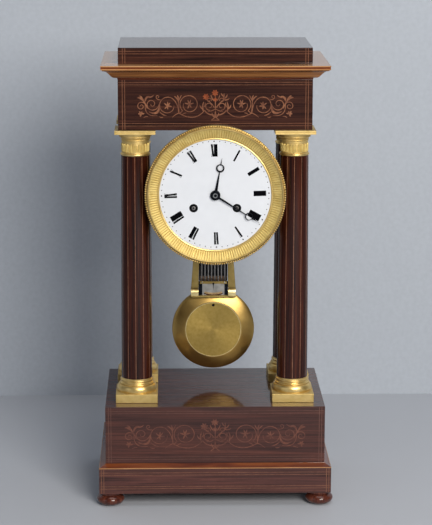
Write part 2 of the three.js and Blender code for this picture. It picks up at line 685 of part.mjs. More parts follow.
// Brass tube with a flange for the bezel in front and a ledge for the movement behind, clear of the cock
function drum() {
  const flange = drumRadius + DRUM_FLANGE_WIDTH;
  const flangeRear = flangeFront + DRUM_FLANGE_THICKNESS;
  const ledgeRear = ledgeFront + DRUM_WALL;
  const tube = turnedY([[drumBore, drumFront], [drumRadius, drumFront], [drumRadius, flangeFront],
    [flange, flangeFront], [flange, flangeRear], [drumRadius, flangeRear], [drumRadius, ledgeRear],
    [ledgeBore, ledgeRear], [ledgeBore, ledgeFront], [drumBore, ledgeFront], [drumBore, drumFront]],
  FINE_SIDES);
  const cockHeights = [anchorAt[1] + blockBottom - CLEARANCE, anchorAt[1] + blockTop + CLEARANCE];
  return cut(tube, block(about(2 * (cockOuter + CLEARANCE)), widened([ledgeFront, ledgeRear]), cockHeights));
}

function bezel() {
  const rebate = dialRadius + CLEARANCE;
  const lipBack = dialFace - CLEARANCE;
  const face = BEZEL_OUTLINE.map(([width, height]) =>
    [DIAL_OPENING_RADIUS + width * BEZEL_WIDTH, bezelBack - height * BEZEL_HEIGHT]);
  return turnedY([[rebate, bezelBack], [rebate, lipBack], [DIAL_OPENING_RADIUS, lipBack], ...face,
    [bezelRadius, bezelBack], [rebate, bezelBack]], FINE_SIDES);
}

function dial() {
  const disc = rodY(dialRadius, [dialFace, dialBack], FINE_SIDES);
  const footSpan = [dialBack - DIAL_THICKNESS / 2, plateFront - CLEARANCE];
  const feet = DIAL_FOOT_ANGLES.map((angle) =>
    rodY(DIAL_FOOT_RADIUS, footSpan, SMALL_SIDES, polar(DIAL_FOOT_CIRCLE, angle * degrees)));
  const through = widened([dialFace, dialBack]);
  const centreHole = rodY(hourPipeRadius + DIAL_CENTRE_EASE, through, ROUND_SIDES);
  const windingHoles = [goingBarrelAt, strikeBarrelAt].map((at) =>
    rodY(WINDING_HOLE_RADIUS, through, ROUND_SIDES, at));
  return cut(join(disc, ...feet), centreHole, ...windingHoles);
}

// The block between the drum's back and the underside of the frieze
function saddle() {
  const start = flangeFront + DRUM_FLANGE_THICKNESS + CLEARANCE;
  const span = [start, start + SADDLE_LENGTH];
  const body = block(about(SADDLE_WIDTH), span, [0, friezeBottom - dialCentre]);
  return cut(body, rodY(drumRadius + CLEARANCE, widened(span), FINE_SIDES));
}

function addDrum() {
  piece(movement, 'movement_drum', drum(), brass);
  piece(movement, 'drum_saddle', saddle(), rosewood);
  piece(movement, 'bezel', bezel(), giltBronze);
  piece(movement, 'dial', dial(), enamel);
}

// Arbors that run in both plates, with their radii
const plateHoles = [[intermediateAt, arborRadius(GREAT)], [centreAt, centreArborRadius],
  [thirdAt, arborRadius(CENTRE)], [escapeAt, arborRadius(THIRD)], [anchorAt, THIN_ARBOR_RADIUS],
  [secondAt, arborRadius(GREAT)], [pinWheelAt, arborRadius(SECOND)], [flyAt, arborRadius(PIN)],
  [hammerAt, THIN_ARBOR_RADIUS]];

function boredPlate(span, holes) {
  const bores = holes.map(([at, radius]) => rodY(radius + CLEARANCE, widened(span), SMALL_SIDES, at));
  return cut(rodY(plateRadius, span, FINE_SIDES), ...bores);
}

function addPlates() {
  const windingHoles = [[goingBarrelAt, WINDING_ARBOR_RADIUS], [strikeBarrelAt, WINDING_ARBOR_RADIUS]];
  const stud = [minuteWheelAt, MINUTE_STUD_RADIUS];
  const front = boredPlate([plateFront, 0], [...plateHoles, ...windingHoles, stud]);
  const pillarSpan = [plateFront / 2, backPlateFront - CLEARANCE];
  const pillars = PILLAR_ANGLES.map((angle) =>
    rodY(PILLAR_RADIUS, pillarSpan, SMALL_SIDES, polar(plateRadius - PILLAR_INSET, angle * degrees)));
  piece(movement, 'front_plate', join(front, ...pillars), brass);

  const rearPivots = [[goingBarrelAt, WINDING_PIVOT_RADIUS], [strikeBarrelAt, WINDING_PIVOT_RADIUS]];
  const back = boredPlate([backPlateFront, backPlateRear], [...plateHoles, ...rearPivots]);
  piece(movement, 'back_plate', back, brass);
}

// Great wheel and spring barrel in one, turning on the winding arbor
const barrelRadius = rootRadius(GREAT.wheel, GREAT.module) - BARREL_STEP;
const barrelBore = barrelRadius - BARREL_WALL;

function barrel(at, pinionAt) {
  const wheel = wheelGear(GREAT, at, pinionAt, [BARREL_LEVEL, barrelFront]);
  const body = rodY(barrelRadius, [barrelFront - GREAT_WHEEL_THICKNESS / 2, barrelRear], ROUND_SIDES);
  const hollow = rodY(barrelBore, [barrelFront, barrelRear - BARREL_WALL], ROUND_SIDES);
  const bore = rodY(WINDING_ARBOR_RADIUS + CLEARANCE, widened([BARREL_LEVEL, barrelRear]), ROUND_SIDES);
  return cut(join(wheel, body), hollow, bore);
}

// A flat spiral strip, wound from the arbor out to the barrel's wall
function mainspring() {
  const steps = SPRING_TURNS * SPRING_STEPS;
  const innerRadius = WINDING_ARBOR_RADIUS + SPRING_START_GAP;
  const flatBore = barrelBore * Math.cos(Math.PI / ROUND_SIDES);
  const outerRadius = flatBore - SPRING_THICKNESS - CLEARANCE;
  const at = (step, thickness) => {
    const radius = innerRadius + (outerRadius - innerRadius) * step / steps;
    return polar(radius + thickness, 2 * Math.PI * step / SPRING_STEPS);
  };
  const outline = [];
  for (let step = 0; step <= steps; step += 1) outline.push(at(step, SPRING_THICKNESS));
  for (let step = steps; step >= 0; step -= 1) outline.push(at(step, 0));
  return plateY(polygon(outline), [barrelFront + CLEARANCE, barrelRear - BARREL_WALL - CLEARANCE]);
}

// Square end for the key, ratchet wheel and arbor
function windingArbor() {
  const squareSpan = [dialFace + SQUARE_BELOW_FACE, plateFront];
  const square = block(about(WINDING_SQUARE), squareSpan, about(WINDING_SQUARE));
  const ratchetBack = plateFront - 2 * CLEARANCE;
  const ratchetShape = toothedShape(RATCHET_TEETH, RATCHET_RADIUS, RATCHET_RADIUS - RATCHET_TOOTH, 0);
  const ratchet = plateY(ratchetShape, [ratchetBack - RATCHET_THICKNESS, ratchetBack]);
  const shoulder = backPlateFront - WINDING_PIVOT_LENGTH;
  const arbor = rodY(WINDING_ARBOR_RADIUS, [ratchetBack - RATCHET_THICKNESS / 2, shoulder], ROUND_SIDES);
  const pivot = rodY(WINDING_PIVOT_RADIUS, [plateFront, backPlateRear - CLEARANCE]);
  return join(arbor, square, ratchet, pivot);
}

// The pinion that a great wheel drives
const greatPinionSpan = [BARREL_LEVEL - (PINION_LENGTH - GREAT_WHEEL_THICKNESS) / 2,
  barrelFront + (PINION_LENGTH - GREAT_WHEEL_THICKNESS) / 2];

function addGoingTrain() {
  piece(movement, 'going_barrel', barrel(goingBarrelAt, intermediateAt), brass, onArbor(goingBarrelAt));
  piece(movement, 'going_mainspring', mainspring(), steel, onArbor(goingBarrelAt));
  piece(movement, 'going_winding_arbor', windingArbor(), steel, onArbor(goingBarrelAt));

  const intermediate = join(rodY(arborRadius(GREAT), arborSpan),
    pinionGear(GREAT, goingBarrelAt, intermediateAt, greatPinionSpan),
    wheelGear(INTERMEDIATE, intermediateAt, centreAt, wheelSpan(intermediateLevel)));
  piece(movement, 'intermediate_wheel', intermediate, brass, onArbor(intermediateAt));

  const centre = join(rodY(centreArborRadius, [minuteHandBack, arborSpan[1]]),
    pinionGear(INTERMEDIATE, intermediateAt, centreAt, pinionSpan(intermediateLevel)),
    wheelGear(CENTRE, centreAt, thirdAt, wheelSpan(centreLevel)));
  piece(movement, 'centre_wheel', centre, brass, onArbor(centreAt));

  const third = join(rodY(arborRadius(CENTRE), arborSpan),
    pinionGear(CENTRE, centreAt, thirdAt, pinionSpan(centreLevel)),
    wheelGear(THIRD, thirdAt, escapeAt, wheelSpan(THIRD_LEVEL)));
  piece(movement, 'third_wheel', third, brass, onArbor(thirdAt));

  const escapeShape = toothedShape(ESCAPE_TEETH, ESCAPE_RADIUS, ESCAPE_RADIUS - ESCAPE_TOOTH, 90 * degrees);
  const escape = join(rodY(arborRadius(THIRD), arborSpan),
    pinionGear(THIRD, thirdAt, escapeAt, pinionSpan(THIRD_LEVEL)),
    plateY(escapeShape, wheelSpan(ESCAPE_LEVEL)));
  piece(movement, 'escape_wheel', escape, brass, onArbor(escapeAt));
}

// Anchor with its two nibs just over the escape wheel's tips, and the crutch behind the back plate
function addEscapement() {
  const level = wheelSpan(ESCAPE_LEVEL);
  const nibRadius = ESCAPE_RADIUS + NIB_GAP;
  const nibX = nibRadius * Math.sin(NIB_DIRECTION * degrees);
  const nibZ = nibRadius * Math.cos(NIB_DIRECTION * degrees) - ESCAPE_RADIUS - ANCHOR_GAP;
  const arm = block(about(2 * (nibX + NIB_WIDTH)), level, about(ANCHOR_ARM_HEIGHT));
  const nibs = [[nibX, nibX + NIB_WIDTH], [-nibX - NIB_WIDTH, -nibX]].map((across) =>
    block(across, level, [nibZ, 0]));
  const crutchFront = backPlateRear + CRUTCH_STANDOFF;
  const bossSpan = [crutchFront, crutchFront + CRUTCH_BOSS_LENGTH];
  const arbor = rodY(THIN_ARBOR_RADIUS, [arborSpan[0], bossSpan[1]]);
  const anchor = join(arbor, rodY(ANCHOR_BOSS_RADIUS, level), arm, ...nibs);
  piece(movement, 'pallet_anchor', anchor, steel, onArbor(anchorAt));

  const middle = crutchFront + CRUTCH_BOSS_LENGTH / 2;
  const rodSpan = [middle - CRUTCH_ROD_THICKNESS / 2, middle + CRUTCH_ROD_THICKNESS / 2];
  const rod = block(about(CRUTCH_ROD_WIDTH), rodSpan, [-CRUTCH_LENGTH - CRUTCH_PIN_RADIUS, 0]);
  const pinSpan = [rodSpan[0], swingPlane + STEM_WIDTH / 2];
  const pin = rodY(CRUTCH_PIN_RADIUS, pinSpan, SMALL_SIDES, [0, -CRUTCH_LENGTH]);
  const crutch = join(rodY(CRUTCH_BOSS_RADIUS, bossSpan), rod, pin);
  const bore = rodY(THIN_ARBOR_RADIUS + CLEARANCE, widened(bossSpan));
  piece(movement, 'crutch', cut(crutch, bore), steel, onArbor(anchorAt));
}

// Count wheel: a rim whose slots lie further apart as the hours to strike grow
function countWheel() {
  const half = COUNT_SLOT_HALF_ANGLE * degrees;
  const facetAngle = 20 * degrees;
  const blows = 90;
  const outline = [];
  let struck = 0;
  for (let hour = 1; hour <= 12; hour += 1) {
    const slot = 2 * Math.PI * struck / blows;
    struck += hour + 1;
    const next = 2 * Math.PI * struck / blows;
    outline.push(polar(COUNT_WHEEL_RADIUS - COUNT_SLOT_DEPTH, slot - half));
    outline.push(polar(COUNT_WHEEL_RADIUS - COUNT_SLOT_DEPTH, slot + half));
    const facets = Math.ceil((next - slot) / facetAngle);
    for (let facet = 0; facet <= facets; facet += 1) {
      outline.push(polar(COUNT_WHEEL_RADIUS, slot + half + (next - slot - 2 * half) * facet / facets));
    }
  }
  const span = wheelSpan(backPlateRear + CLEARANCE);
  const bore = rodY(arborRadius(GREAT) + CLEARANCE, widened(span));
  return cut(plateY(polygon(outline), span), bore);
}

// The pins that lift the hammer stand on a circle inside the pin wheel's teeth
const pinCircle = rootRadius(PIN.wheel, PIN.module) - PIN_INSET;
const pinTips = PIN_LEVEL + WHEEL_THICKNESS + PIN_LENGTH;

function addStrikeTrain() {
  piece(movement, 'strike_barrel', barrel(strikeBarrelAt, secondAt), brass, onArbor(strikeBarrelAt));
  piece(movement, 'strike_mainspring', mainspring(), steel, onArbor(strikeBarrelAt));
  piece(movement, 'strike_winding_arbor', windingArbor(), steel, onArbor(strikeBarrelAt));

  const countWheelRear = backPlateRear + WHEEL_THICKNESS + CLEARANCE;
  const second = join(rodY(arborRadius(GREAT), [arborSpan[0], countWheelRear]),
    pinionGear(GREAT, strikeBarrelAt, secondAt, greatPinionSpan),
    wheelGear(SECOND, secondAt, pinWheelAt, wheelSpan(intermediateLevel)));
  piece(movement, 'strike_second_wheel', second, brass, onArbor(secondAt));
  piece(movement, 'count_wheel', countWheel(), brass, onArbor(secondAt));

  const pins = [];
  for (let pin = 0; pin < PIN_COUNT; pin += 1) {
    const at = polar(pinCircle, 2 * Math.PI * pin / PIN_COUNT);
    pins.push(rodY(PIN_RADIUS, [PIN_LEVEL + WHEEL_THICKNESS / 2, pinTips], PIN_SIDES, at));
  }
  const pinWheel = join(rodY(arborRadius(SECOND), arborSpan),
    pinionGear(SECOND, secondAt, pinWheelAt, pinionSpan(intermediateLevel)),
    wheelGear(PIN, pinWheelAt, flyAt, wheelSpan(PIN_LEVEL)), ...pins);
  piece(movement, 'pin_wheel', pinWheel, brass, onArbor(pinWheelAt));

  const vaneSpan = [THIRD_LEVEL + WHEEL_THICKNESS, PLATE_GAP - FLY_FROM_BACK];
  const vane = block(about(2 * FLY_HALF_WIDTH), vaneSpan, about(FLY_THICKNESS));
  const fly = join(rodY(arborRadius(PIN), arborSpan),
    pinionGear(PIN, pinWheelAt, flyAt, pinionSpan(PIN_LEVEL)), vane);
  piece(movement, 'fly', fly, brass, onArbor(flyAt));
}

// The bell stands behind the swing, and the hammer's head rests just off its rim
const bellMouth = swingPlane + BELL_BEHIND_SWING;
const bellCrown = bellMouth + BELL_DEPTH;

function bell() {
  const hole = BELL_POST_RADIUS + CLEARANCE;
  const rise = Array.from({ length: BELL_STEPS + 1 }, (_, step) => Math.PI / 2 * step / BELL_STEPS);
  const shell = (radius, depth) => rise.map((angle) =>
    [Math.max(radius * Math.cos(angle), hole), bellMouth + depth * Math.sin(angle)]);
  const outside = shell(BELL_RADIUS, BELL_DEPTH);
  const inside = shell(BELL_RADIUS - BELL_WALL, BELL_DEPTH - BELL_WALL).reverse();
  return turnedY([...outside, ...inside, outside[0]], ROUND_SIDES);
}

function bellStand() {
  const foot = backPlateRear + CLEARANCE;
  const armFront = bellCrown + CLEARANCE;
  const armSpan = [armFront, armFront + BELL_ARM_THICKNESS];
  const post = rodY(BELL_POST_RADIUS, [foot, armSpan[1]], SMALL_SIDES, bellPostAt);
  const collar = rodY(collarRadius, [foot, foot + POST_COLLAR_LENGTH], SMALL_SIDES, bellPostAt);
  const arm = barY(bellPostAt, centreAt, BELL_ARM_WIDTH, armSpan);
  const eyes = [centreAt, bellPostAt].map((at) => rodY(BELL_ARM_EYE_RADIUS, armSpan, SMALL_SIDES, at));
  const stud = rodY(BELL_POST_RADIUS, [bellCrown - 2 * BELL_WALL, armSpan[1]]);
  return join(post, collar, arm, stud, ...eyes);
}

function hammer() {
  const headFront = bellMouth - HAMMER_HEAD_LEAD;
  const headSpan = [headFront, headFront + HAMMER_HEAD_LENGTH];
  const stalkFront = headFront + (HAMMER_HEAD_LENGTH - HAMMER_STRIP) / 2;
  const headCircle = BELL_RADIUS + HAMMER_GAP + HAMMER_HEAD_RADIUS;
  const headZ = hammerAt[1] - HAMMER_DROP;
  const headAt = [-Math.sqrt(headCircle ** 2 - headZ ** 2) - hammerAt[0], -HAMMER_DROP];
  const pinWheelDistance = Math.hypot(pinWheelAt[0] - hammerAt[0], pinWheelAt[1] - hammerAt[1]);
  const tailLength = pinWheelDistance - pinCircle - PIN_RADIUS - HAMMER_TAIL_GAP;
  const tailAt = polar(tailLength, angleTo(hammerAt, pinWheelAt));
  const tailSpan = [pinTips - CLEARANCE - HAMMER_STRIP, pinTips - CLEARANCE];
  return join(rodY(THIN_ARBOR_RADIUS, [arborSpan[0], headSpan[1]]), rodY(HAMMER_BOSS_RADIUS, tailSpan),
    barY([0, 0], tailAt, HAMMER_STRIP, tailSpan),
    barY([0, 0], headAt, HAMMER_STRIP, [stalkFront, stalkFront + HAMMER_STRIP]),
    rodY(HAMMER_HEAD_RADIUS, headSpan, SMALL_SIDES, headAt));
}

function addStrikeParts() {
  piece(movement, 'bell', bell(), bellMetal);
  piece(movement, 'bell_stand', bellStand(), steel);
  piece(movement, 'hammer', hammer(), steel, onArbor(hammerAt));
}

// A moon-tipped hand: hub, tapering blade, open ring and point, laid along +Z from the axis
function moonHand(length, moonAt, moonRadius, hubBore, span) {
  const through = widened(span);
  const [rootHalf, neckHalf, pointHalf] = [HAND_ROOT_WIDTH / 2, HAND_NECK_WIDTH / 2, HAND_POINT_WIDTH / 2];
  const taper = [[-rootHalf, 0], [rootHalf, 0], [neckHalf, moonAt], [-neckHalf, moonAt]];
  const blade = plateY(polygon(taper), span);
  const pointRoot = moonAt + moonRadius - MOON_RING_WIDTH / 2;
  const point = plateY(polygon([[-pointHalf, pointRoot], [pointHalf, pointRoot], [0, length]]), span);
  const moon = rodY(moonRadius, span, ROUND_SIDES, [0, moonAt]);
  const moonHole = rodY(moonRadius - MOON_RING_WIDTH, through, ROUND_SIDES, [0, moonAt]);
  const hub = rodY(HAND_HUB_RADIUS, span, ROUND_SIDES);
  return cut(join(hub, cut(join(blade, moon, point), moonHole)), rodY(hubBore, through, ROUND_SIDES));
}

function addMotionWork() {
  const minuteWheelSpan = [minuteWheelFront, minuteWheelBack];
  const cannonTeeth = pinionGear(CANNON, minuteWheelAt, centreAt, minuteWheelSpan);
  const cannonSpan = [minuteHandFront - CANNON_NOSE, plateFront - CLEARANCE];
  const cannonPipe = rodY(cannonPipeRadius, cannonSpan, ROUND_SIDES);
  const cannon = cut(join(cannonPipe, cannonTeeth), rodY(cannonBore, widened(cannonSpan), ROUND_SIDES));
  piece(movement, 'cannon_pinion', cannon, brass);

  const minutePinionSpan = [hourWheelFront - CLEARANCE, minuteWheelFront + WHEEL_THICKNESS / 2];
  const minuteStud = rodY(MINUTE_STUD_RADIUS, [hourWheelFront - 2 * CLEARANCE, -CLEARANCE]);
  const minuteWheel = join(wheelGear(CANNON, minuteWheelAt, centreAt, minuteWheelSpan),
    pinionGear(HOUR, centreAt, minuteWheelAt, minutePinionSpan), minuteStud);
  piece(movement, 'minute_wheel', minuteWheel, brass, onArbor(minuteWheelAt));

  const hourPipeSpan = [hourHandFront - CLEARANCE, hourWheelBack];
  const hourPipe = rodY(hourPipeRadius, hourPipeSpan, ROUND_SIDES);
  const hourTeeth = wheelGear(HOUR, centreAt, minuteWheelAt, [hourWheelFront, hourWheelBack]);
  const hourWheel = cut(join(hourTeeth, hourPipe), rodY(hourPipeBore, widened(hourPipeSpan), ROUND_SIDES));
  piece(movement, 'hour_wheel', hourWheel, brass);

  const minuteTurn = MINUTES_SHOWN / 60 * 2 * Math.PI;
  const minuteHand = moonHand(MINUTE_HAND_LENGTH, MINUTE_MOON_AT, MINUTE_MOON_RADIUS,
    cannonPipeRadius + CLEARANCE, [minuteHandFront, minuteHandBack]);
  piece(movement, 'minute_hand', minuteHand.rotateY(minuteTurn), blackSteel);
  const hourHand = moonHand(HOUR_HAND_LENGTH, HOUR_MOON_AT, HOUR_MOON_RADIUS, hourPipeRadius + CLEARANCE,
    [hourHandFront, hourHandBack]);
  piece(movement, 'hour_hand', hourHand.rotateY(minuteTurn / 12), blackSteel);
}

// Rods between two bars, a slotted stem above for the leaf spring, and the middle rod down into the bob
function gridiron() {
  const middle = (ROD_COUNT - 1) / 2;
  const rods = [];
  for (let rod = 0; rod < ROD_COUNT; rod += 1) {
    const reach = rod === middle ? BOB_RADIUS - ROD_BITE - bobDrop : lowerBarBottom + LOWER_BAR_HEIGHT / 2;
    rods.push(rodZ(ROD_RADIUS, [reach, upperBarTop - UPPER_BAR_HEIGHT / 2], [(rod - middle) * ROD_PITCH, 0]));
  }
  const across = about(2 * bundleHalf);
  const upperBarDepth = [stirrupBack + CLEARANCE, CROSSBAR_DEPTH / 2];
  const upperBar = block(across, upperBarDepth, [upperBarBottom, upperBarTop]);
  const lowerBar = block(across, about(CROSSBAR_DEPTH), [lowerBarBottom, lowerBarTop]);
  const stem = slab(STEM_WIDTH, STEM_WIDTH, [upperBarTop - UPPER_BAR_HEIGHT / 2, stemTop]);
  const through = widened(about(STEM_WIDTH));
  const leafSlot = block(about(LEAF_THICKNESS + 2 * LEAF_SLOT_EASE), through,
    [leafBottom - CLEARANCE, stemTop + overcut]);
  const crutchHole = rodY(CRUTCH_PIN_RADIUS + CLEARANCE, through, SMALL_SIDES, [0, -CRUTCH_LENGTH]);
  return cut(join(upperBar, lowerBar, stem, ...rods), leafSlot, crutchHole);
}

// The brass strap frame that flares at the foot and ends in a rail over the bob
function stirrup() {
  const outer = strapInner + STRAP_WIDTH;
  const flareTop = lowerBarTop + STIRRUP_FLARE_RISE;
  const bendTop = railTop + STIRRUP_BEND_RISE;
  const outline = (inset, bottom, corner) => {
    const strap = outer - inset;
    const foot = strap + STIRRUP_FLARE;
    const right = [[strap, upperBarTop - inset], [strap, flareTop], [foot, bendTop],
      [foot - STIRRUP_BEND_INSET, bottom + corner], [foot - corner, bottom]];
    return [...right.map(([x, z]) => [-x, z]), ...right.reverse()];
  };
  const span = [stirrupFront, stirrupBack];
  const outside = plateY(polygon(outline(0, railBottom, RAIL_CORNER)), span);
  const inside = plateY(polygon(outline(STRAP_WIDTH, railTop, RAIL_INNER_CORNER)), widened(span));
  return cut(outside, inside);
}

// Lens-shaped disc with a flat raised middle, bored for the middle rod
function bob() {
  const radii = [0, 0.35, 0.7, 1].map((share) => BOB_RADIUS + (BOB_DISC_RADIUS - BOB_RADIUS) * share);
  const rear = radii.map((radius) => [radius, lensAt(radius)]);
  const front = rear.map(([radius, y]) => [radius, -y]).reverse();
  const profile = [[0, -lensHalf], [BOB_DISC_RADIUS, -lensHalf], ...front, ...rear,
    [0, lensHalf - BOB_DISC_STEP]];
  const bore = rodZ(ROD_RADIUS + CLEARANCE, [BOB_RADIUS - ROD_BITE - CLEARANCE, BOB_RADIUS + overcut]);
  return cut(turnedY(profile, FINE_SIDES), bore);
}

function indicatorPlate() {
  const span = [indicatorFront, indicatorFront + INDICATOR_THICKNESS];
  return block(about(2 * bundleHalf), span, [indicatorBottom, indicatorTop]);
}

function indicatorNeedle() {
  const back = indicatorFront - CLEARANCE;
  const span = [back - NEEDLE_THICKNESS, back];
  const blade = plateY(polygon([[-NEEDLE_WIDTH / 2, 0], [0, -NEEDLE_LENGTH], [NEEDLE_WIDTH / 2, 0]]), span);
  return join(rodY(NEEDLE_HUB_RADIUS, span), blade);
}

// A rod across the suspension block, along X
function crossPin(radius, span) {
  const middle = (blockBottom + blockTop) / 2;
  return rodY(radius, span).rotateZ(Math.PI / 2).translate(0, 0, middle);
}

// Leaf spring under a pinned block, between the arms of the cock
function suspensionSpring() {
  const depth = about(SUSPENSION_BLOCK_WIDTH);
  const body = block(depth, depth, [blockBottom, blockTop]);
  const leaf = block(about(LEAF_THICKNESS), depth, [leafBottom, blockBottom + SUSPENSION_BLOCK_HEIGHT / 2]);
  return join(body, leaf, crossPin(SUSPENSION_PIN_RADIUS, about(2 * cockOuter)));
}

function suspensionCock() {
  const front = -SUSPENSION_BLOCK_WIDTH / 2 - CLEARANCE;
  const end = SUSPENSION_BLOCK_WIDTH / 2 + COCK_END;
  const body = block(about(2 * cockOuter), [CLEARANCE - SWING_BEHIND_PLATE, end], [blockBottom, blockTop]);
  const gap = block(about(2 * cockInner), [front, end + overcut], widened([blockBottom, blockTop]));
  const pinHole = crossPin(SUSPENSION_PIN_RADIUS + CLEARANCE, widened(about(2 * cockOuter)));
  return cut(body, gap, pinHole);
}

function addPendulum() {
  piece(pendulum, 'suspension_cock', suspensionCock(), brass);
  piece(pendulum, 'suspension_spring', suspensionSpring(), steel);
  piece(pendulum, 'gridiron', gridiron(), steel);
  piece(pendulum, 'stirrup', stirrup(), giltBronze);
  piece(pendulum, 'indicator_plate', indicatorPlate(), silvered);
  const needlePivot = [0, 0, indicatorTop - NEEDLE_PIVOT_DROP];
  piece(pendulum, 'indicator_needle', indicatorNeedle(), blackSteel, needlePivot);
  piece(pendulum, 'bob', bob(), brass, [0, 0, -bobDrop]);
}

addBase();
addColumns();
addEntablature();
addDrum();
addPlates();
addGoingTrain();
addEscapement();
addStrikeTrain();
addStrikeParts();
addMotionWork();
addPendulum();

export default clock;
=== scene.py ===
# %% [markdown]
# # A four-column mantel clock
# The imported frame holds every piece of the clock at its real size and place, in metres, with the front
# towards -Y and Z up. This file dresses it: it lays finer meshes and real finishes over the frame, and
# it takes its sizes from the frame's own boxes, so nothing has to be fitted afterwards.

# %% Load the frame
import math

import bmesh
import bpy
from mathutils import Matrix, Vector


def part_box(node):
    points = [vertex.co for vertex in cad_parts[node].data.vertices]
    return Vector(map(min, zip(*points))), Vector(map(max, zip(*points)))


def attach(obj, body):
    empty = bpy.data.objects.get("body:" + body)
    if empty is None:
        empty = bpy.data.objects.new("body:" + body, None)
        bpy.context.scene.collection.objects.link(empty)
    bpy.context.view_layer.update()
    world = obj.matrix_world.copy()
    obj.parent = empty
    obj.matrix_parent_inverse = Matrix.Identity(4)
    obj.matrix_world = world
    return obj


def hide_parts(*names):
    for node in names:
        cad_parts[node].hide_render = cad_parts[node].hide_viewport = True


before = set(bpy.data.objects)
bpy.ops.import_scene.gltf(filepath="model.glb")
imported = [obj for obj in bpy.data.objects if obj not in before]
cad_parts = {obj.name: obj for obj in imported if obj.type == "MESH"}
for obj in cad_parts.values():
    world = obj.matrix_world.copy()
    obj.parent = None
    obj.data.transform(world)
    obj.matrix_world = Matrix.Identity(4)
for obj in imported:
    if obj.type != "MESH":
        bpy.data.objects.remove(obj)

MM = 0.001
scene = bpy.context.scene
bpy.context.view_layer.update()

# %% [markdown]
# ## The camera
# The clock was photographed from a little above and a little to the left, with a long lens. A camera is
# fixed by its place, its turn and its focal length. These came from matching the frame's corners to the
# picture, so they are written as plain sizes.

# %% Camera
PICTURE_HEIGHT = 525
FOCAL_PIXELS = 1895.14
SENSOR_MM = 36
CAMERA_PLACE = Vector((-47.91, -2028.14, 693.73)) * MM
CAMERA_YAW, CAMERA_PITCH, CAMERA_ROLL = 0.0248, 0.2149, 0.002

camera = bpy.data.cameras.new("camera")
camera.sensor_width = SENSOR_MM
camera.lens = FOCAL_PIXELS * SENSOR_MM / PICTURE_HEIGHT
camera_object = bpy.data.objects.new("camera", camera)
turn = Matrix.Rotation(-CAMERA_YAW, 4, "Z") @ Matrix.Rotation(math.pi / 2 - CAMERA_PITCH, 4, "X")
camera_object.matrix_world = Matrix.Translation(CAMERA_PLACE) @ turn @ Matrix.Rotation(CAMERA_ROLL, 4, "Z")
scene.collection.objects.link(camera_object)
scene.camera = camera_object
print("camera lens in mm:", round(camera.lens, 2))

# %% [markdown]
# ## Colours and nodes
# Colours are picked as sRGB hex values, the way an eye or a picture gives them. Shaders work in linear
# light, so one function turns them over. Another adds a node with its settings and its links, and every
# material and every node tree below is built with it.

# %% Colour and node helpers
def colour(code):
    """Linear RGBA from an sRGB hex colour."""
    shares = [int(code[at:at + 2], 16) / 255 for at in (1, 3, 5)]
    linear = [share / 12.92 if share <= 0.04045 else ((share + 0.055) / 1.055) ** 2.4 for share in shares]
    return (*linear, 1.0)


def add_node(tree, kind, settings=None, inputs=None, stops=(), to=None):
    """Adds a node. Settings are its properties, inputs are socket values or outputs to link from, stops
    are the places and hex colours of a colour ramp, and to is a socket that its first output feeds."""
    node = tree.nodes.new(kind)
    for name, value in (settings or {}).items():
        setattr(node, name, value)
    for name, value in (inputs or {}).items():
        if isinstance(value, bpy.types.NodeSocket):
            tree.links.new(value, node.inputs[name])
        else:
            node.inputs[name].default_value = value
    if stops:
        elements = node.color_ramp.elements
        while len(elements) < len(stops):
            elements.new(1.0)
        for element, (place, code) in zip(elements, stops):
            element.position = place
            element.color = colour(code)
    if to is not None:
        tree.links.new(node.outputs[0], to)
    return node


def finish(name, values):
    """A material with the shader values that are the same all over it."""
    material = bpy.data.materials.new(name)
    material.use_nodes = True
    shader = material.node_tree.nodes["Principled BSDF"]
    for socket, value in values.items():
        shader.inputs[socket].default_value = value
    return material, material.node_tree, shader


def streaked_noise(tree, vector, size_mm, detail, distortion=0.0):
    """Noise whose blots are as long, wide and deep as the three sizes."""
    stretch = [1 / (size * MM) for size in size_mm]
    mapped = add_node(tree, "ShaderNodeMapping", inputs={"Vector": vector, "Scale": stretch})
    return add_node(tree, "ShaderNodeTexNoise", inputs={
        "Vector": mapped.outputs["Vector"], "Scale": 1.0, "Detail": detail,
        "Distortion": distortion}).outputs["Fac"]


print("colour and node helpers are ready")

# %% [markdown]
# ## The stage
# The clock stands on a pale floor close before a pale wall. One large soft light to the upper right
# throws its shadow on the wall to the left, as in the picture. The wall is see-through from behind, so
# that the back of the clock can be looked at too, and a weak light there brightens the floor behind it.

# %% Floor, wall and lights
WALL_DISTANCE = 344 * MM
WALL_HEIGHT = 3.0
WALL_BLOT = 5
STAGE_HALF = 3.0


def plane(name, near, far, material):
    """One flat stage sheet, as wide as the stage, between two edges given as (y, z)."""
    mesh = bpy.data.meshes.new(name)
    corners = [(-STAGE_HALF, *near), (STAGE_HALF, *near), (STAGE_HALF, *far), (-STAGE_HALF, *far)]
    mesh.from_pydata(corners, [], [(0, 1, 2, 3)])
    mesh.materials.append(material)
    sheet = bpy.data.objects.new(name, mesh)
    scene.collection.objects.link(sheet)


floor_paper = finish("floor_paper", {"Base Color": colour("#b6bac2"), "Roughness": 0.75})[0]
wall_paper, wall_tree, wall_shader = finish("wall_paper", {"Roughness": 0.85})
wall_place = add_node(wall_tree, "ShaderNodeTexCoord").outputs["Object"]
blots = streaked_noise(wall_tree, wall_place, (WALL_BLOT,) * 3, 3)
add_node(wall_tree, "ShaderNodeValToRGB", inputs={"Fac": blots},
         stops=[(0.3, "#b1b8c2"), (0.7, "#b7bec8")], to=wall_shader.inputs["Base Color"])
behind = add_node(wall_tree, "ShaderNodeNewGeometry").outputs["Backfacing"]
clear = add_node(wall_tree, "ShaderNodeBsdfTransparent").outputs["BSDF"]
add_node(wall_tree, "ShaderNodeMixShader", inputs={0: behind, 1: wall_shader.outputs["BSDF"], 2: clear},
         to=wall_tree.nodes["Material Output"].inputs["Surface"])

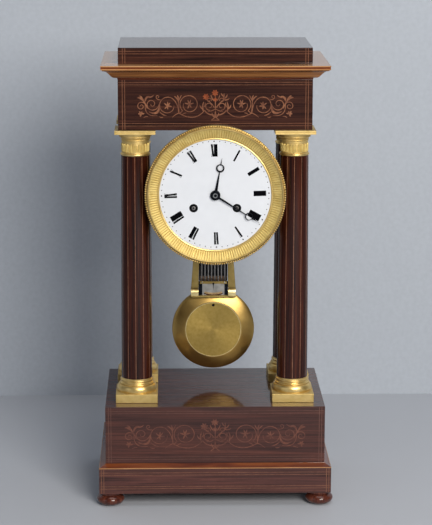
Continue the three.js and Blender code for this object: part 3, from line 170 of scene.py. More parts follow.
plane("floor", (-STAGE_HALF, 0), (STAGE_HALF, 0), floor_paper)
plane("wall", (WALL_DISTANCE, 0), (WALL_DISTANCE, WALL_HEIGHT), wall_paper)

LIGHTS = [
    # name, place in metres, size in metres, watts, tint
    ("key", (0.69, -1.88, 1.12), 1.0, 46.0, "#fffaf2"),
    ("fill", (-1.9, -1.6, 0.9), 1.6, 5.0, "#eef3ff"),
    ("overhead", (0.3, -0.4, 1.9), 1.2, 8.0, "#ffffff"),
    ("back", (-1.5, 1.9, 1.6), 1.4, 7.0, "#ffffff"),
]
LIGHT_AIM = Vector((0.0, 0.0, 0.25))
for name, place, size, watts, tint in LIGHTS:
    lamp = bpy.data.lights.new(name, "AREA")
    lamp.size = size
    lamp.energy = watts
    lamp.color = colour(tint)[:3]
    lamp_object = bpy.data.objects.new(name, lamp)
    lamp_object.location = place
    lamp_object.rotation_euler = (LIGHT_AIM - Vector(place)).to_track_quat("-Z", "Y").to_euler()
    scene.collection.objects.link(lamp_object)

world = bpy.data.worlds.new("studio")
world.use_nodes = True
world.node_tree.nodes["Background"].inputs["Color"].default_value = colour("#aab0ba")
world.node_tree.nodes["Background"].inputs["Strength"].default_value = 0.12
scene.world = world
scene.view_settings.view_transform = "Standard"
print("stage and", len(LIGHTS), "lights are set")

# %% [markdown]
# ## Rosewood under French polish
# Rosewood veneer is dark red-brown with nearly black streaks along the grain, and shellac polish lies on
# it like glass. The streaks are noise stretched along the grain: long figure bands about 9 mm wide,
# streaks under 2 mm wide, and short open pores. Flat sheets carry a UV map in metres with U along the
# grain. Turned pieces read Object coordinates, turned so that the grain runs up the piece.

# %% Rosewood
GRAIN = "grain"
POLISH = {"Roughness": 0.4, "Specular IOR Level": 0.05, "Coat Weight": 1.0, "Coat Roughness": 0.07,
          "Coat IOR": 1.44}
ROSEWOOD_STOPS = (0.34, 0.46, 0.56, 0.68)
FIGURE_SIZE, STREAK_SIZE, PORE_SIZE = (210, 9, 9), (80, 1.7, 1.7), (8, 0.5, 0.5)
PORE_DEPTH = 0.05


def rosewood(name, tones, upright=False, gloss=1.0):
    """Polished rosewood from dark to light, on a grain map or, upright, along Z."""
    material, tree, shader = finish(name, {**POLISH, "Coat Weight": gloss})
    if upright:
        place = add_node(tree, "ShaderNodeTexCoord").outputs["Object"]
        grain = add_node(tree, "ShaderNodeMapping", inputs={
            "Vector": place, "Rotation": (0, math.pi / 2, 0)}).outputs["Vector"]
    else:
        grain = add_node(tree, "ShaderNodeUVMap", {"uv_map": GRAIN}).outputs["UV"]
    figure = streaked_noise(tree, grain, FIGURE_SIZE, 3, 1.6)
    streaks = streaked_noise(tree, grain, STREAK_SIZE, 5, 0.8)
    pores = streaked_noise(tree, grain, PORE_SIZE, 2)
    blend = add_node(tree, "ShaderNodeMix", {"data_type": "FLOAT"}, {0: 0.5, 2: figure, 3: streaks})
    tone = add_node(tree, "ShaderNodeValToRGB", inputs={"Fac": blend.outputs[0]},
                    stops=list(zip(ROSEWOOD_STOPS, tones)))
    pitted = add_node(tree, "ShaderNodeMapRange", inputs={
        "Value": pores, "From Min": 0.60, "From Max": 0.72, "To Min": 0.0, "To Max": 0.55})
    shade = add_node(tree, "ShaderNodeMix", {"data_type": "RGBA"}, {
        0: pitted.outputs["Result"], 6: tone.outputs["Color"], 7: colour(tones[0])})
    tree.links.new(shade.outputs[2], shader.inputs["Base Color"])
    add_node(tree, "ShaderNodeBump", inputs={
        "Strength": 0.08, "Distance": PORE_DEPTH * MM, "Height": pitted.outputs["Result"]},
        to=shader.inputs["Normal"])
    return material


case_wood = rosewood("rosewood_veneer", ("#1d0f0c", "#301a15", "#3e231b", "#4d2c21"))
# the plinth's and base's lighter, greyer tones are partly the veneer's own and partly a painted sheen
plinth_wood = rosewood("rosewood_lighter_painted_sheen", ("#2b1614", "#3f231e", "#4c2a23", "#5d352b"))
base_wood = rosewood("rosewood_palest_painted_sheen", ("#2f1a18", "#472a26", "#55322c", "#683e35"))
shaft_wood = rosewood("rosewood_upright", ("#170704", "#2c1008", "#3c180c", "#522512"),
                      upright=True, gloss=0.55)
foot_wood = rosewood("rosewood_turned", ("#2a120e", "#4a231a", "#5d2f22", "#7a4630"), upright=True)
print("rosewood finishes:", case_wood.name, plinth_wood.name, base_wood.name, shaft_wood.name)

# %% [markdown]
# ## Boxwood and amber wood
# The lines and scrolls let into the veneer are drawn as boxwood, which is pale and so close in the grain
# that no pores show. Age and polish have darkened it, most of all on the plinth. The mouldings are a
# plain amber wood with redder bands and pale lines; the red also paints the shadow in the cornice's
# recess, and a pale line paints the highlight on the sloped band's lip. One soft noise, drawn out along a
# moulding, gives each its grain.

# %% Pale and amber woods
PLAIN_STOPS = {2: (0.35, 0.65), 3: (0.35, 0.5, 0.66)}


def plain_wood(name, tones, size_mm):
    """A pale or amber wood in two or three tones with one soft grain, on Object coordinates."""
    material, tree, shader = finish(name, POLISH)
    place = add_node(tree, "ShaderNodeTexCoord").outputs["Object"]
    grain = streaked_noise(tree, place, size_mm, 4, 0.5)
    add_node(tree, "ShaderNodeValToRGB", inputs={"Fac": grain},
             stops=list(zip(PLAIN_STOPS[len(tones)], tones)), to=shader.inputs["Base Color"])
    return material


amber_wood = plain_wood("amber_moulding", ("#6e4424", "#82522e", "#986539"), (70, 70, 2.5))
pale_line_and_highlight = plain_wood("pale_amber_line_and_painted_highlight", ("#a87749", "#c29262"), (60, 60, 4))
red_banding_and_shade = plain_wood("red_amber_banding_and_painted_shade", ("#542414", "#6a3217", "#7e421c"), (60, 60, 4))
string_wood = plain_wood("boxwood_string", ("#6f4835", "#8a5f47"), (6, 6, 6))
aged_string = plain_wood("aged_boxwood_string", ("#5b3c35", "#6f4c40"), (6, 6, 6))
scroll_wood = plain_wood("boxwood_scrolls", ("#694334", "#8f6047"), (5, 5, 5))
aged_scroll = plain_wood("aged_boxwood_scrolls", ("#58342a", "#714435"), (5, 5, 5))
stained_wood = plain_wood("stained_boxwood", ("#703722", "#924e31"), (4, 4, 4))
print("pale and amber woods:", amber_wood.name, string_wood.name, scroll_wood.name)

# %% [markdown]
# ## Gilt bronze, brass and steel
# The mounts are bronze under mercury gilding. Some of it was left matte, which gives a soft even yellow,
# and some was burnished with a stone until it shone. The bob and the movement are plain brass, turned on
# a lathe and lacquered, so fine rings run round it. The rings are drawn about 1 mm apart, which is coarser
# than life, so that they show.

# %% Metal finishes
CLOUD_LOW, CLOUD_HIGH = 0.3, 0.7
WORN_LOW, WORN_HIGH = 0.85, 1.2
GRIT = 0.8
RING_SPACING = 1.1 * MM
RING_DEPTH = 0.015
WAVE_LENGTH = math.tau / 20


def middle_of(node):
    """The middle of a CAD node's box."""
    low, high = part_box(node)
    return (low + high) / 2


def metal(name, dark, light, blot_mm, roughness, bump_mm=0.0, rings=None, metallic=1.0, brushed=0.0):
    """A metal with soft changes between two tones. Rings is the centre of lathe lines round -Y, and
    brushed draws the highlight out across such lines."""
    material, tree, shader = finish(name, {
        "Metallic": metallic, "Roughness": roughness, "Anisotropic": brushed})
    if brushed:
        add_node(tree, "ShaderNodeTangent", {"direction_type": "RADIAL", "axis": "Y"},
                 to=shader.inputs["Tangent"])
    place = add_node(tree, "ShaderNodeTexCoord").outputs["Object"]
    cloud = streaked_noise(tree, place, (blot_mm,) * 3, 4)
    add_node(tree, "ShaderNodeValToRGB", inputs={"Fac": cloud},
             stops=[(CLOUD_LOW, dark), (CLOUD_HIGH, light)], to=shader.inputs["Base Color"])
    add_node(tree, "ShaderNodeMapRange", inputs={
        "Value": cloud, "From Min": CLOUD_LOW, "From Max": CLOUD_HIGH,
        "To Min": roughness * WORN_LOW, "To Max": roughness * WORN_HIGH}, to=shader.inputs["Roughness"])
    height = None
    if rings:
        centred = add_node(tree, "ShaderNodeMapping", inputs={
            "Vector": place, "Location": [-side for side in rings]})
        height = add_node(tree, "ShaderNodeTexWave", {"wave_type": "RINGS", "rings_direction": "Y"}, {
            "Vector": centred.outputs["Vector"], "Scale": WAVE_LENGTH / RING_SPACING,
            "Distortion": 0.3}).outputs["Fac"]
    elif bump_mm:
        height = streaked_noise(tree, place, (GRIT,) * 3, 2)
    if height is not None:
        add_node(tree, "ShaderNodeBump", inputs={
            "Strength": 0.2, "Distance": max(bump_mm, RING_DEPTH) * MM, "Height": height},
            to=shader.inputs["Normal"])
    return material


# gilding: matte on plain faces, burnished on rings and soft on fine relief, and darker as painted shade
# in the grooves
gilt_matte = metal("gilt_bronze_matte", "#ccb06b", "#dcc385", 6, 0.5, bump_mm=0.02, metallic=0.8)
gilt_bright = metal("gilt_bronze_burnished", "#dcb96d", "#ecd190", 9, 0.34, metallic=0.9)
gilt_soft = metal("gilt_bronze_soft", "#cab065", "#ddc881", 6, 0.55, metallic=0.5)
groove_shade_gilt = metal("gilt_bronze_painted_shade", "#a78640", "#bc9b54", 4, 0.55, metallic=0.6)
# brass: ringed by the lathe on the bob, satin on its disc, darker for tarnish and painted shade,
# and pale where a painted highlight is
bob_brass = metal("turned_brass", "#b08e50", "#cbab66", 25, 0.36, rings=middle_of("bob"))
disc_brass = metal("satin_brass", "#a88e4b", "#b69c5a", 3, 0.42, bump_mm=0.03, brushed=0.28)
tarnish_shade_brass = metal("tarnished_brass_painted_shade", "#937d48", "#ab955c", 8, 0.34)
highlight_brass = metal("painted_highlight_brass", "#dac68b", "#ebdaa4", 8, 0.33)
plate_brass = metal("lacquered_brass", "#b28d42", "#cfac5e", 10, 0.25)
bar_brass = metal("reddish_brass", "#604c40", "#786352", 4, 0.4)
silvered = metal("silvered_brass", "#969590", "#b3b1ac", 5, 0.36)
copper = metal("copper_scale", "#b6976c", "#cbae84", 5, 0.4)
bell_bronze = metal("bell_metal", "#a98f58", "#c7b07a", 10, 0.24)
# steel: bright where it is polished, greyer as drawn wire, dark as painted shade in the winding holes,
# and nearly black when blued
steel = metal("polished_steel", "#8d9092", "#b4b6b8", 5, 0.28)
rod_steel = metal("drawn_steel", "#7f7d7c", "#9b9997", 4, 0.32)
hole_shade_steel = metal("dark_steel_painted_shade", "#2c2e31", "#3f4145", 3, 0.35)
black_steel = metal("blued_black_steel", "#15171b", "#23262c", 4, 0.30)
print("metal finishes:", gilt_matte.name, gilt_bright.name, bob_brass.name, steel.name)

# %% [markdown]
# ## Enamel
# The dial is white glass fired on copper, with the hours painted in black and fired again. It is very
# smooth, faintly wavy, and a cool white.

# %% Enamel finishes
SWELL = 12
SWELL_DEPTH = 0.1


def enamel(name, tone, dull, coat):
    """Fired glass: an even colour, a trace duller here and there, with a gloss and the faintest waviness."""
    material, tree, shader = finish(name, {
        "Base Color": colour(tone), "Roughness": 0.22, "Specular IOR Level": coat, "Coat Weight": coat,
        "Coat Roughness": 0.04})
    place = add_node(tree, "ShaderNodeTexCoord").outputs["Object"]
    swell = streaked_noise(tree, place, (SWELL,) * 3, 1)
    add_node(tree, "ShaderNodeValToRGB", inputs={"Fac": swell}, stops=[(0.3, tone), (0.7, dull)],
             to=shader.inputs["Base Color"])
    add_node(tree, "ShaderNodeBump", inputs={
        "Strength": 0.1, "Distance": SWELL_DEPTH * MM, "Height": swell}, to=shader.inputs["Normal"])
    return material


white_enamel = enamel("white_enamel", "#dbdfe6", "#d8dce3", 0.5)
black_enamel = enamel("black_enamel", "#0b0c0f", "#0a0b0e", 0.0)
# the dark red serves the indicator's ticks and also paints the shadow under its plate
dark_red_and_shadow_enamel = enamel("dark_red_enamel_and_painted_shadow", "#3a1610", "#391610", 0.0)
print("enamel finishes:", white_enamel.name, black_enamel.name, dark_red_and_shadow_enamel.name)

# %% [markdown]
# ## Making pieces
# A finished piece is one mesh at the origin, with its place in its points. Some are turned from an
# outline, as on a lathe. Some are copies of the frame's own solids with their sharp edges eased, because
# no real edge is perfectly sharp. Polish shows every fault, so the shading is weighted by area: a large
# flat face stays flat and mirrors truly, and only its narrow rounded edge bends the light. Each piece
# then rides on the body that moves it and hides the solid that it stands for.

# %% Turned meshes
FACING = Matrix.Rotation(math.pi / 2, 4, "X")


def facing(x, y, z):
    """Lays a mesh drawn in XY, with Z towards the reader, on an upright plane that faces the front."""
    return Matrix.Translation((x, y, z)) @ FACING


def placed(mesh, matrix):
    """A copy of a mesh, moved by a matrix."""
    moved = mesh.copy()
    moved.transform(matrix)
    return moved


def mesh_from(shape):
    """A mesh from a closed bmesh, with its faces pointing out."""
    bmesh.ops.recalc_face_normals(shape, faces=shape.faces)
    mesh = bpy.data.meshes.new("shape")
    shape.to_mesh(mesh)
    shape.free()
    return mesh


def arc(centre, radius, start, end, steps):
    """Points of an arc in an outline, between two angles in degrees."""
    angles = [math.radians(start + (end - start) * step / steps) for step in range(steps + 1)]
    return [(centre[0] + radius * math.cos(angle), centre[1] + radius * math.sin(angle)) for angle in angles]


def round_point(radius, angle, height):
    """A point round Z in metres, from a radius and a height in millimetres."""
    return radius * MM * math.cos(angle), radius * MM * math.sin(angle), height * MM


def turned(outline, sides, stand=Matrix(), ring=False):
    """A solid turned about Z from (radius, height) points in millimetres and moved to its stand. A ring
    closes on itself."""
    shape = bmesh.new()
    angles = [math.tau * side / sides for side in range(sides)]
    hoops = []
    for radius, height in outline:
        points = [round_point(radius, angle, height) for angle in angles]
        hoops.append([shape.verts.new(point) for point in (points if radius > 0 else points[:1])])
    following = hoops[1:] + (hoops[:1] if ring else [])
    for low, high in zip(hoops, following):
        for side in range(sides):
            after = (side + 1) % sides
            corners = [low[side % len(low)], low[after % len(low)], high[after % len(high)],
                       high[side % len(high)]]
            shape.faces.new(list(dict.fromkeys(corners)))
    return placed(mesh_from(shape), stand)


print("turned meshes are ready")

# %% Eased edges
def applied(data, add_modifiers):
    """The plain mesh that modifiers, added by a function, make of a mesh or a curve."""
    holder = bpy.data.objects.new("holder", data)
    scene.collection.objects.link(holder)
    add_modifiers(holder)
    depsgraph = bpy.context.evaluated_depsgraph_get()
    mesh = bpy.data.meshes.new_from_object(holder.evaluated_get(depsgraph), depsgraph=depsgraph)
    bpy.data.objects.remove(holder)
    return mesh


def eased(mesh, width_mm, segments=3, limit=35):
    """A mesh with its sharp edges rounded."""
    def bevel(holder):
        modifier = holder.modifiers.new("ease", "BEVEL")
        modifier.width = width_mm * MM
        modifier.segments = segments
        modifier.limit_method = "ANGLE"
        modifier.angle_limit = math.radians(limit)
    return applied(mesh, bevel)


def dressed(node, width_mm, segments=3):
    """A copy of a CAD solid with its triangles merged into faces and its edges eased."""
    shape = bmesh.new()
    shape.from_mesh(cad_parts[node].data)
    bmesh.ops.remove_doubles(shape, verts=shape.verts, dist=0.002 * MM)
    bmesh.ops.dissolve_limit(shape, angle_limit=math.radians(1), verts=shape.verts, edges=shape.edges)
    return eased(mesh_from(shape), width_mm, segments)


def block(low, high, width_mm=0.4):
    """A box between two corners in metres, with eased edges."""
    shape = bmesh.new()
    bmesh.ops.create_cube(shape, size=1.0)
    size = Vector(high) - Vector(low)
    bmesh.ops.scale(shape, vec=size, verts=shape.verts)
    bmesh.ops.translate(shape, vec=(Vector(low) + Vector(high)) / 2, verts=shape.verts)
    return eased(mesh_from(shape), width_mm)


print("eased copies and blocks are ready")

# %% Grain map
# shifts in metres that give each sheet of veneer a part of the figure of its own
END_SHIFT, END_SPREAD = 0.7, 0.31
TOP_SHIFT = 1.9
FACE_SPREAD = 0.53


def map_grain(mesh):
    """Lays a UV map in metres over flat faces, with U along the grain of each sheet of veneer."""
    layer = mesh.uv_layers.new(name=GRAIN)
    for face in mesh.polygons:
        tilt = [abs(part) for part in face.normal]
        for corner in face.loop_indices:
            x, y, z = mesh.vertices[mesh.loops[corner].vertex_index].co
            if tilt[0] > max(tilt[1:]):
                layer.data[corner].uv = (y + END_SHIFT, z + math.copysign(END_SPREAD, face.normal.x))
            elif tilt[2] > tilt[1]:
                layer.data[corner].uv = (x + TOP_SHIFT, y)
            else:
                layer.data[corner].uv = (x, z + math.copysign(FACE_SPREAD, face.normal.y))
    return mesh


print("sheets of veneer are shifted by", END_SHIFT, "and", TOP_SHIFT, "metres")

# %% Finished pieces
def piece(name, body, parts, nodes=(), smooth=35):
    """One object from (mesh, material) parts, riding on a body and standing for the CAD nodes."""
    mesh = bpy.data.meshes.new(name)
    shape = bmesh.new()
    for index, (part, material) in enumerate(parts):
        start = len(shape.faces)
        shape.from_mesh(part)
        shape.faces.ensure_lookup_table()
        for face in shape.faces[start:]:
            face.material_index = index
        mesh.materials.append(material)
    shape.to_mesh(mesh)
    shape.free()
    mesh.shade_smooth()
    mesh.set_sharp_from_angle(angle=math.radians(smooth))

    def weigh_normals(holder):
        modifier = holder.modifiers.new("weigh", "WEIGHTED_NORMAL")
        modifier.mode = "FACE_AREA"
        modifier.weight = 80
        modifier.keep_sharp = True
    weighed = applied(mesh, weigh_normals)
    bpy.data.meshes.remove(mesh)
    weighed.name = name
    made = bpy.data.objects.new(name, weighed)
    scene.collection.objects.link(made)
    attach(made, body)
    if nodes:
        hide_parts(*nodes)
    return made


PLACES = ("front_left", "front_right", "rear_left", "rear_right")
# the shading angle for inlay, so small that all its edges stay sharp
FLAT = 2
print("pieces can be made, and four kinds stand at", ", ".join(PLACES))

# %% [markdown]
# ## Node trees for what repeats
# Three Geometry Nodes trees do the repeated work: copies turned round an axis (ribs, beads, leaves,
# strings), copies in a row (rods), and flat inlay laid along curves (strings, scrolls, painted
# numerals). A curve's radius sets the half width of the inlay, so a stem can taper to a point.

# %% Copies round an axis and in a row
def open_tree(name, inputs):
    """An empty tree with a geometry input, named inputs and an output. Returns it and its inputs."""
    tree = bpy.data.node_groups.new(name, "GeometryNodeTree")
    tree.interface.new_socket("Geometry", in_out="INPUT", socket_type="NodeSocketGeometry")
    for label, kind in inputs.items():
        tree.interface.new_socket(label, in_out="INPUT", socket_type=kind)
    tree.interface.new_socket("Geometry", in_out="OUTPUT", socket_type="NodeSocketGeometry")
    return tree, add_node(tree, "NodeGroupInput").outputs


def close_tree(tree, geometry, material):
    """Ends a tree: instances become real meshes with their material."""
    real = add_node(tree, "GeometryNodeRealizeInstances", inputs={"Geometry": geometry})
    painted = add_node(tree, "GeometryNodeSetMaterial", inputs={
        "Geometry": real.outputs["Geometry"], "Material": material})
    add_node(tree, "NodeGroupOutput", inputs={"Geometry": painted.outputs["Geometry"]})


def tree_round_axis():
    """Copies of a mesh turned evenly round Z."""
    tree, given = open_tree("copies_round_axis", {
        "Count": "NodeSocketInt", "Material": "NodeSocketMaterial"})
    points = add_node(tree, "GeometryNodePoints", inputs={"Count": given["Count"]})
    step = add_node(tree, "ShaderNodeMath", {"operation": "DIVIDE"}, {0: math.tau, 1: given["Count"]})
    index = add_node(tree, "GeometryNodeInputIndex")
    angle = add_node(tree, "ShaderNodeMath", {"operation": "MULTIPLY"}, {
        0: step.outputs["Value"], 1: index.outputs["Index"]})
    turn = add_node(tree, "ShaderNodeCombineXYZ", inputs={"Z": angle.outputs["Value"]})
    copies = add_node(tree, "GeometryNodeInstanceOnPoints", inputs={
        "Points": points.outputs["Points"], "Instance": given["Geometry"],
        "Rotation": turn.outputs["Vector"]})
    close_tree(tree, copies.outputs["Instances"], given["Material"])
    return tree


def tree_in_row():
    """Copies of a mesh in a straight row."""
    tree, given = open_tree("copies_in_row", {
        "Count": "NodeSocketInt", "Step": "NodeSocketVector", "Material": "NodeSocketMaterial"})
    line = add_node(tree, "GeometryNodeMeshLine", inputs={"Count": given["Count"], "Offset": given["Step"]})
    copies = add_node(tree, "GeometryNodeInstanceOnPoints", inputs={
        "Points": line.outputs["Mesh"], "Instance": given["Geometry"]})
    close_tree(tree, copies.outputs["Instances"], given["Material"])
    return tree


round_axis = tree_round_axis()
in_row = tree_in_row()
print("node trees:", round_axis.name, in_row.name)

# %% Inlay along curves
INLAY_HALF = 0.1 * MM
LEVEL_STEP = 0.002 * MM


def tree_inlay():
    """A flat strip along each curve, as wide as the curve's radius on each side and evenly thick.
    Each strip lies a hair above the one before it, so that no two faces share a plane."""
    tree, given = open_tree("inlay_along_curves", {"Material": "NodeSocketMaterial"})
    order = add_node(tree, "GeometryNodeInputIndex")
    counted = add_node(tree, "GeometryNodeCaptureAttribute", {"domain": "CURVE"}, {
        "Geometry": given["Geometry"]})
    counted.capture_items.new("INT", "Order")
    tree.links.new(order.outputs["Index"], counted.inputs["Order"])
    upright = add_node(tree, "GeometryNodeSetCurveNormal", {"mode": "Z_UP"}, {
        "Curve": counted.outputs["Geometry"]})
    # the section's height only tells top from bottom, because the strip is made evenly thick below
    section = add_node(tree, "GeometryNodeCurvePrimitiveQuadrilateral", {"mode": "POINTS"}, {
        "Point 1": (-1, -0.2, 0), "Point 2": (1, -0.2, 0), "Point 3": (1, 0.2, 0), "Point 4": (-1, 0.2, 0)})
    radius = add_node(tree, "GeometryNodeInputRadius")
    strip = add_node(tree, "GeometryNodeCurveToMesh", inputs={
        "Curve": upright.outputs["Curve"], "Profile Curve": section.outputs["Curve"],
        "Scale": radius.outputs["Radius"], "Fill Caps": True})
    place = add_node(tree, "GeometryNodeInputPosition")
    split = add_node(tree, "ShaderNodeSeparateXYZ", inputs={"Vector": place.outputs["Position"]})
    side = add_node(tree, "ShaderNodeMath", {"operation": "SIGN"}, {0: split.outputs["Z"]})
    half = add_node(tree, "ShaderNodeMath", {"operation": "MULTIPLY"}, {
        0: side.outputs["Value"], 1: INLAY_HALF})
    height = add_node(tree, "ShaderNodeMath", {"operation": "MULTIPLY_ADD"}, {
        0: counted.outputs["Order"], 1: LEVEL_STEP, 2: half.outputs["Value"]})
    level = add_node(tree, "ShaderNodeCombineXYZ", inputs={
        "X": split.outputs["X"], "Y": split.outputs["Y"], "Z": height.outputs["Value"]})
    even = add_node(tree, "GeometryNodeSetPosition", inputs={
        "Geometry": strip.outputs["Mesh"], "Position": level.outputs["Vector"]})
    close_tree(tree, even.outputs["Geometry"], given["Material"])
    return tree


inlay = tree_inlay()
print("node tree:", inlay.name)

# %% Meshes grown by the trees
def grown(data, tree, values):
    """The plain mesh that a tree makes of a mesh or curve, with its inputs set by identifier."""
    sockets = {item.name: item.identifier for item in tree.interface.items_tree if item.in_out == "INPUT"}

    def add_tree(holder):
        modifier = holder.modifiers.new("grown", "NODES")
        modifier.node_group = tree
        for label, value in values.items():
            modifier[sockets[label]] = value
    return applied(data, add_tree)


def inlaid(strokes, material):
    """Flat inlay from strokes: each is a list of (x, y) points and three half widths, in millimetres."""
    curve = bpy.data.curves.new("strokes", "CURVE")
    curve.dimensions = "3D"
    for points, (start, middle, end) in strokes:
        line = curve.splines.new("POLY")
        line.points.add(len(points) - 1)
        for at, (knot, (x, y)) in enumerate(zip(line.points, points)):
            share = at / (len(points) - 1)
            width = (1 - share) ** 2 * start + 2 * share * (1 - share) * middle + share ** 2 * end
            knot.co = (x * MM, y * MM, 0, 1)
            knot.radius = max(width, 0.02) * MM
    return grown(curve, inlay, {"Material": material})


print("the trees can grow plain meshes")

# %% [markdown]
# ## The case
# The case is a carcass of boxes under rosewood veneer: a base, a plinth, a frieze and an attic. The
# solids of the frame have the right shape already, so each piece is a copy with its edges eased and a
# grain map laid over it.

# %% Case boxes
CASE_BOXES = (
    # CAD node, piece, veneer, and the width of the eased edges in millimetres
    ("base_frame", "lower_base", base_wood, 0.5), ("plinth_case", "plinth", plinth_wood, 0.5),
    ("frieze_case", "frieze", case_wood, 0.5), ("attic", "attic_block", case_wood, 0.5),
    ("drum_saddle", "drum_block", case_wood, 0.4),
)
for node, name, wood, ease in CASE_BOXES:
    piece(name, "case", [(map_grain(dressed(node, ease)), wood)], [node], 20)
print("four case boxes and the drum's block are dressed")

# %% [markdown]
# The cornice is a moulding run round the top of the frieze. Over a small recess, red to paint its
# shadow, a wave (an ogee) swings out to a square fillet, which is a dark band between two pale lines. It
# is a stack of rectangles with mitred corners. The band that slopes from the lower base up to the plinth
# is made in the same way, with a thin pale line along its foot that paints the highlight on its lip.

# %% Cornice
CORNERS = ((-1, -1), (1, -1), (1, 1), (-1, 1))


def lofted(rows):
    """A solid skinned over rows of points in metres, each a closed loop of the same length."""
    shape = bmesh.new()
    loops = [[shape.verts.new(point) for point in row] for row in rows]
    for low, high in zip(loops, loops[1:]):
        for side in range(len(low)):
            after = (side + 1) % len(low)
            shape.faces.new((low[side], low[after], high[after], high[side]))
    shape.faces.new(reversed(loops[0]))
    shape.faces.new(loops[-1])
    return mesh_from(shape)


def swept_block(levels):
    """A solid from rectangles, each as (half width, half depth, height) in metres, from the bottom up."""
    return lofted([[(right * x, back * y, z) for right, back in CORNERS] for x, y, z in levels])


cornice_low, cornice_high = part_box("cornice")
frieze_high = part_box("frieze_case")[1]
overhang = cornice_high.x - frieze_high.x
cornice_height = cornice_high.z - cornice_low.z
OGEE = [
    # how far out and how far up, as shares of the overhang and of the height
    (0.06, 0.10), (0.14, 0.105), (0.22, 0.125), (0.29, 0.165), (0.36, 0.225), (0.425, 0.30), (0.485, 0.38),
    (0.55, 0.46), (0.62, 0.535), (0.70, 0.59), (0.80, 0.63), (0.88, 0.65), (0.90, 0.665), (0.90, 0.76),
]
# the recess is red banding that paints the shadow line under the ogee
SHADOW_RECESS = [(0.02, 0.0), (0.02, 0.14)]
LOWER_LINE = [(0.80, 0.72), (0.975, 0.72), (0.995, 0.735), (0.995, 0.785), (0.975, 0.80)]
FILLET = [(0.80, 0.76), (0.975, 0.76), (0.975, 0.95)]
UPPER_LINE = [(0.80, 0.925), (0.985, 0.925), (1.0, 0.94), (1.0, 0.98), (0.985, 1.0)]


def moulding(outline):
    """Part of the cornice, run round the frieze from an outline in shares."""
    return swept_block([(frieze_high.x + out * overhang, frieze_high.y + out * overhang,
                         cornice_low.z + up * cornice_height) for out, up in outline])


piece("cornice_moulding", "case",
      [(moulding(SHADOW_RECESS), red_banding_and_shade), (moulding(OGEE), amber_wood), (moulding(LOWER_LINE), pale_line_and_highlight),
       (moulding(FILLET), red_banding_and_shade), (moulding(UPPER_LINE), pale_line_and_highlight)], ["cornice"], 28)

print("cornice overhang in mm:", round(overhang / MM, 1))

# %% Sloped band
cap_low, cap_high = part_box("base_cap_board")
plinth_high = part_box("plinth_case")[1]
LIP = 0.8 * MM


def level(corner, out_mm, height):
    """A rectangle at a height, so far out from the sides of a box that has this far corner."""
    return corner.x + out_mm * MM, corner.y + out_mm * MM, height


# the lip's pale line is a painted highlight
lip_levels = [level(cap_high, 0, cap_low.z), level(cap_high, 0, cap_low.z + LIP * 0.8),
              level(cap_high, -0.3, cap_low.z + LIP)]
band_levels = [level(cap_high, -0.5, cap_low.z + LIP * 0.5), level(cap_high, -0.5, cap_low.z + LIP),
               level(plinth_high, 0.3, cap_high.z - 0.3 * MM), level(plinth_high, 0.2, cap_high.z)]
piece("sloped_band", "case",
      [(swept_block(lip_levels), pale_line_and_highlight), (swept_block(band_levels), red_banding_and_shade)],
      ["base_cap_board"], 20)
print("sloped band height in mm:", round((cap_high.z - cap_low.z) / MM, 1))

# %% [markdown]
# ## String inlay
# Two thin pale lines run inside the edges of the case's panels, from end to end, so that they cross at
# the corners. Each line is a strip of boxwood let into the veneer. The strips are inlay along straight
# curves, laid a hair proud of the wood so that they stay clean.

# %% Strings on the case
STRING_HALF = 0.28
LEVEL_HALF = 0.20
STRING_STEP = 2.6
FACE_LIFT = -0.04
EDGE_TRIM = 0.5
WALL_TURN = {"front": 0, "left": -90, "right": 90}


def wall_matrix(side, low, high):
    """The matrix that lays a drawing on one upright face of a box, centred on it."""
    reach = high.y if side == "front" else high.x
    lift = Matrix.Translation((0, -reach - FACE_LIFT * MM, (low.z + high.z) / 2))
    return Matrix.Rotation(math.radians(WALL_TURN[side]), 4, "Z") @ lift @ FACING


def border_strokes(half_width, half_height, side_inset, top_inset, bottom_inset):
    """Pairs of straight lines inside the edges of a panel. An inset of None leaves that edge plain."""
    strokes = []
    for pair in (0, STRING_STEP):
        across = half_width - side_inset - pair
        for x in (-across, across):
            strokes.append(([(x, -half_height), (x, half_height)], (STRING_HALF,) * 3))
        for inset, sign in ((top_inset, 1), (bottom_inset, -1)):
            if inset is not None:
                z = sign * (half_height - inset - pair)
                strokes.append(([(-half_width, z), (half_width, z)], (LEVEL_HALF,) * 3))
    return strokes


PANELS = {
    # node: insets of the outer line from the side, top and bottom edges, in millimetres
    "attic": (4.3, 3.2, None),
    "frieze_case": (4.2, 2.7, 4.2),
    "plinth_case": (3.0, 4.3, 4.0),
    "base_frame": (2.0, 4.0, 5.0),
}
for node, insets in PANELS.items():
    low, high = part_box(node)
    lines = []
    wood = aged_string if node == "plinth_case" else string_wood
    for side in WALL_TURN:
        half_width = (high.x if side == "front" else high.y) / MM - EDGE_TRIM
        half_height = (high.z - low.z) / 2 / MM - EDGE_TRIM
        drawing = inlaid(border_strokes(half_width, half_height, *insets), wood)
        lines.append((placed(drawing, wall_matrix(side, low, high)), wood))
    piece(node.split("_")[0] + "_strings", "case", lines, (), FLAT)
print("string inlay on", len(PANELS), "boxes")

# %% [markdown]
# ## Scroll marquetry
# Both long panels carry the same traditional scrolls: an urn of flowers in the middle, and on each side
# a stem that rolls into rings and spirals, with buds, leaves and small flowers. Every part of it is a
# tapering stroke, so three short functions draw the spirals, the bent stems and the petals. One half is
# drawn and the other is its mirror image.

# %% Strokes of the marquetry
def spiral(centre, radius, start, turns, shrink, widths, late=1.0):
    """A rolled stem: so many turns from an angle in degrees, while its radius shrinks, late or evenly."""
    steps = max(10, round(abs(turns) * 32))
    points = []
    for step in range(steps + 1):
        share = step / steps
        angle = math.radians(start) + share * turns * math.tau
        reach = radius * (1 - shrink * share ** late)
        points.append((centre[0] + reach * math.cos(angle), centre[1] + reach * math.sin(angle)))
    return points, widths


